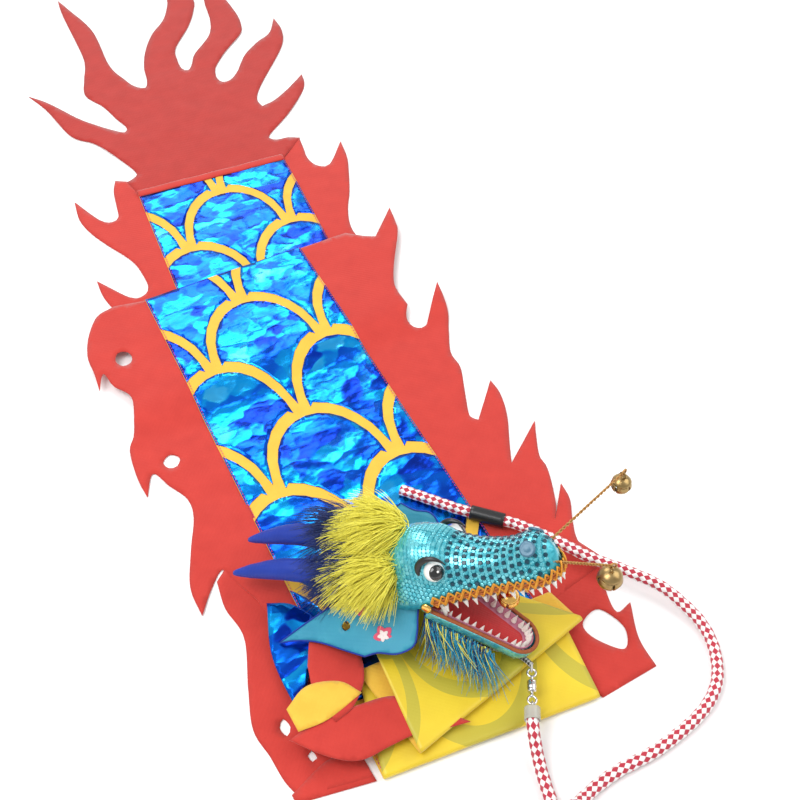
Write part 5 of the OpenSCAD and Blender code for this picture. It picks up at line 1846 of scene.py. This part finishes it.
def twistedWire(name, foot, tip, material, body, node, slot):
    path = [Vector(foot).lerp(Vector(tip), i / 90) for i in range(91)]
    way = (Vector(tip) - Vector(foot)).normalized()
    first = way.cross(up).normalized()
    second = way.cross(first)
    lines = []
    for phase in (0, pi):
        lines.append([(p + (first * cos(i * 0.75 + phase) + second * sin(i * 0.75 + phase)) * 0.58) * mm
            for i, p in enumerate(path)])
    piece = drawThreads(name, lines, material, evenCord(0.0006, 8))
    return finishPiece(piece, slot, body, node)


# round bell with a crossed slot below: four curved quarters under a closed dome
def jingleBell(name, centre, radius, heading, material, body, slot, node, axis=(0, 0, 1)):
    axis = Vector(axis)
    first = Vector((cos(heading), sin(heading), 0))
    second = axis.cross(first)
    points, faces, slit, rows, columns = [], [], 0.9, 12, 9
    for quarter in range(4):
        base = len(points)
        for i in range(rows + 1):
            down = radians(62 + (176 - 62) * i / rows)
            level = radius * sin(down)
            edge = min(asin(min(0.98, slit / max(level, slit * 1.02))), pi / 4 - 0.01) if i else 0
            for k in range(columns + 1):
                a = quarter * pi / 2 + edge + (pi / 2 - 2 * edge) * k / columns
                swell = 1 + 0.05 * exp(-((degrees(down) - 90) / 4) ** 2)
                points.append((Vector(centre) + axis * radius * cos(down)
                    + (first * cos(a) + second * sin(a)) * level * swell) * mm)
        faces += gridFaces(rows, columns, False, True, base)
    top = len(points)
    ringSides = columns * 4
    for i in range(9):
        down = radians(62 * (8 - i) / 8)
        for k in range(ringSides):
            a = 2 * pi * k / ringSides
            points.append((Vector(centre) + axis * radius * cos(down)
                + (first * cos(a) + second * sin(a)) * max(radius * sin(down), 0.02)) * mm)
    faces += gridFaces(8, ringSides, True, True, top)
    shell = thicken(makeMesh(name, points, faces, material), 0.7 * mm, -1.0)
    return finishPiece(shell, slot, body, node)


def makePellet(name, centre, size, body, node):
    radius = bellLook["pellet"] / 2
    turns = [pi * k / 10 for k in range(11)]
    pellet = lathe(name, centre - up * (size / 2 - bellLook["wall"] - bellLook["gap"]), up,
                   [(radius - radius * cos(a), radius * sin(a) + 0.01) for a in turns],
                       materials["steel"], 16)
    finishPiece(pellet, "pellet_steel", body, node)


def hangBell(name, foot, reach, size, side):
    foot, reach = Vector(foot), Vector(reach)
    heading = atan2(reach.y, reach.x)
    ringAt = foot + reach * (1 + bellLook["ring"] / reach.length)
    bodyWire, bodyBell = side + "_whisker", side + "_bell"
    twistedWire(name + "Wire", foot, foot + reach, materials["wire"], bodyWire, "whisker_" + side, "whisker_wire")
    across = Vector((sin(heading), -cos(heading), 0))
    ringMesh(name + "WireEye", ringAt, across, bellLook["ring"], bellLook["ringWire"], materials["wire"],
        "whisker_wire", bodyWire, 24, 8)
    loop = ringAt - up * (2 * bellLook["ring"] - bellLook["ringWire"] - 0.9)
    ringMesh(name + "Loop", loop, Vector((cos(heading), sin(heading), 0)), bellLook["ring"],
        bellLook["ringWire"], materials["brass"], "bell_brass", bodyBell, 24, 8)
    centre = loop - up * (bellLook["ring"] + bellLook["stem"] + size / 2)
    stem = lathe(name + "Stem", centre + up * (size / 2 - 0.6), up, [(0, 2.2), (0.5, 1.7), (1.4, 1.1), (2.0, 1.1)],
        materials["brass"], 16)
    finishPiece(stem, "bell_brass", bodyBell)
    jingleBell(name + "Shell", centre, size / 2, heading, materials["brass"], bodyBell, "bell_brass",
        "whisker_bell_" + side)
    makePellet(name + "Pellet", centre, size, side + "_pellet", "bell_pellet_" + side)


hangBell("leftBell", onHead(89, 11, 16), (80, 24, -4), 15, "left")
hangBell("rightBell", onHead(89, -11, 16), (48, -17, -20), 18, "right")

mouthRing = onHead(58, -4, -1.2) - up * (2.6 + 1.2)
mouthHeading = radians(-43)
hook = ringMesh("mouthBellHook", mouthRing, Vector((sin(mouthHeading), -cos(mouthHeading), 0)), 2.6, 0.7,
    materials["goldBell"], "bell_gold", "dragon", 24, 8)
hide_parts("mouth_bell_hook")
hookPin = lathe("mouthBellPin", mouthRing + up * 2.4, up, [(0, 0.9), (3.6, 0.9)], materials["goldBell"], 12)
finishPiece(hookPin, "bell_gold")
mouthLoop = mouthRing - up * (2 * 2.6 - 0.7 - 0.9)
ringMesh("mouthBellLoop", mouthLoop, Vector((cos(mouthHeading), sin(mouthHeading), 0)), 2.6, 0.7,
    materials["goldBell"], "bell_gold", "tongue_bell", 24, 8)
mouthCentre = mouthLoop - up * (2.6 + bellLook["mouthStem"] + bellLook["mouthRadius"])
finishPiece(lathe("mouthBellStem", mouthCentre + up * 7, up, [(0, 2.2), (0.6, 1.5), (1.4, 1.0), (8.6, 1.0)],
    materials["goldBell"], 16), "bell_gold", "tongue_bell")
jingleBell("mouthBellShell", mouthCentre, bellLook["mouthRadius"], mouthHeading, materials["goldBell"],
    "tongue_bell", "bell_gold", "mouth_bell")
makePellet("mouthPellet", mouthCentre, 2 * bellLook["mouthRadius"], "tongue_pellet", "bell_pellet_mouth")
towWay = (towPath[4] - towPath[0]).normalized()
towRing = ringMesh("towRing", towPath[0], towWay, 3.2, 0.8, materials["metal"], "swivel_metal", "dragon", 28, 10)
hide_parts("tow_ring")
print("whiskers and bells made")


# ---- floor

def makeFloor():
    size = 3.0
    floor = makeMesh("floor", [(-size, -size, 0), (size, -size, 0), (size, size, 0), (-size, size, 0)],
        [(0, 1, 2, 3)],
                     newMaterial("floorPaper", {"Base Color": (0.93, 0.93, 0.93), "Roughness": 0.9,
                         "Specular IOR Level": 0.1})[0], smooth=False)


makeFloor()
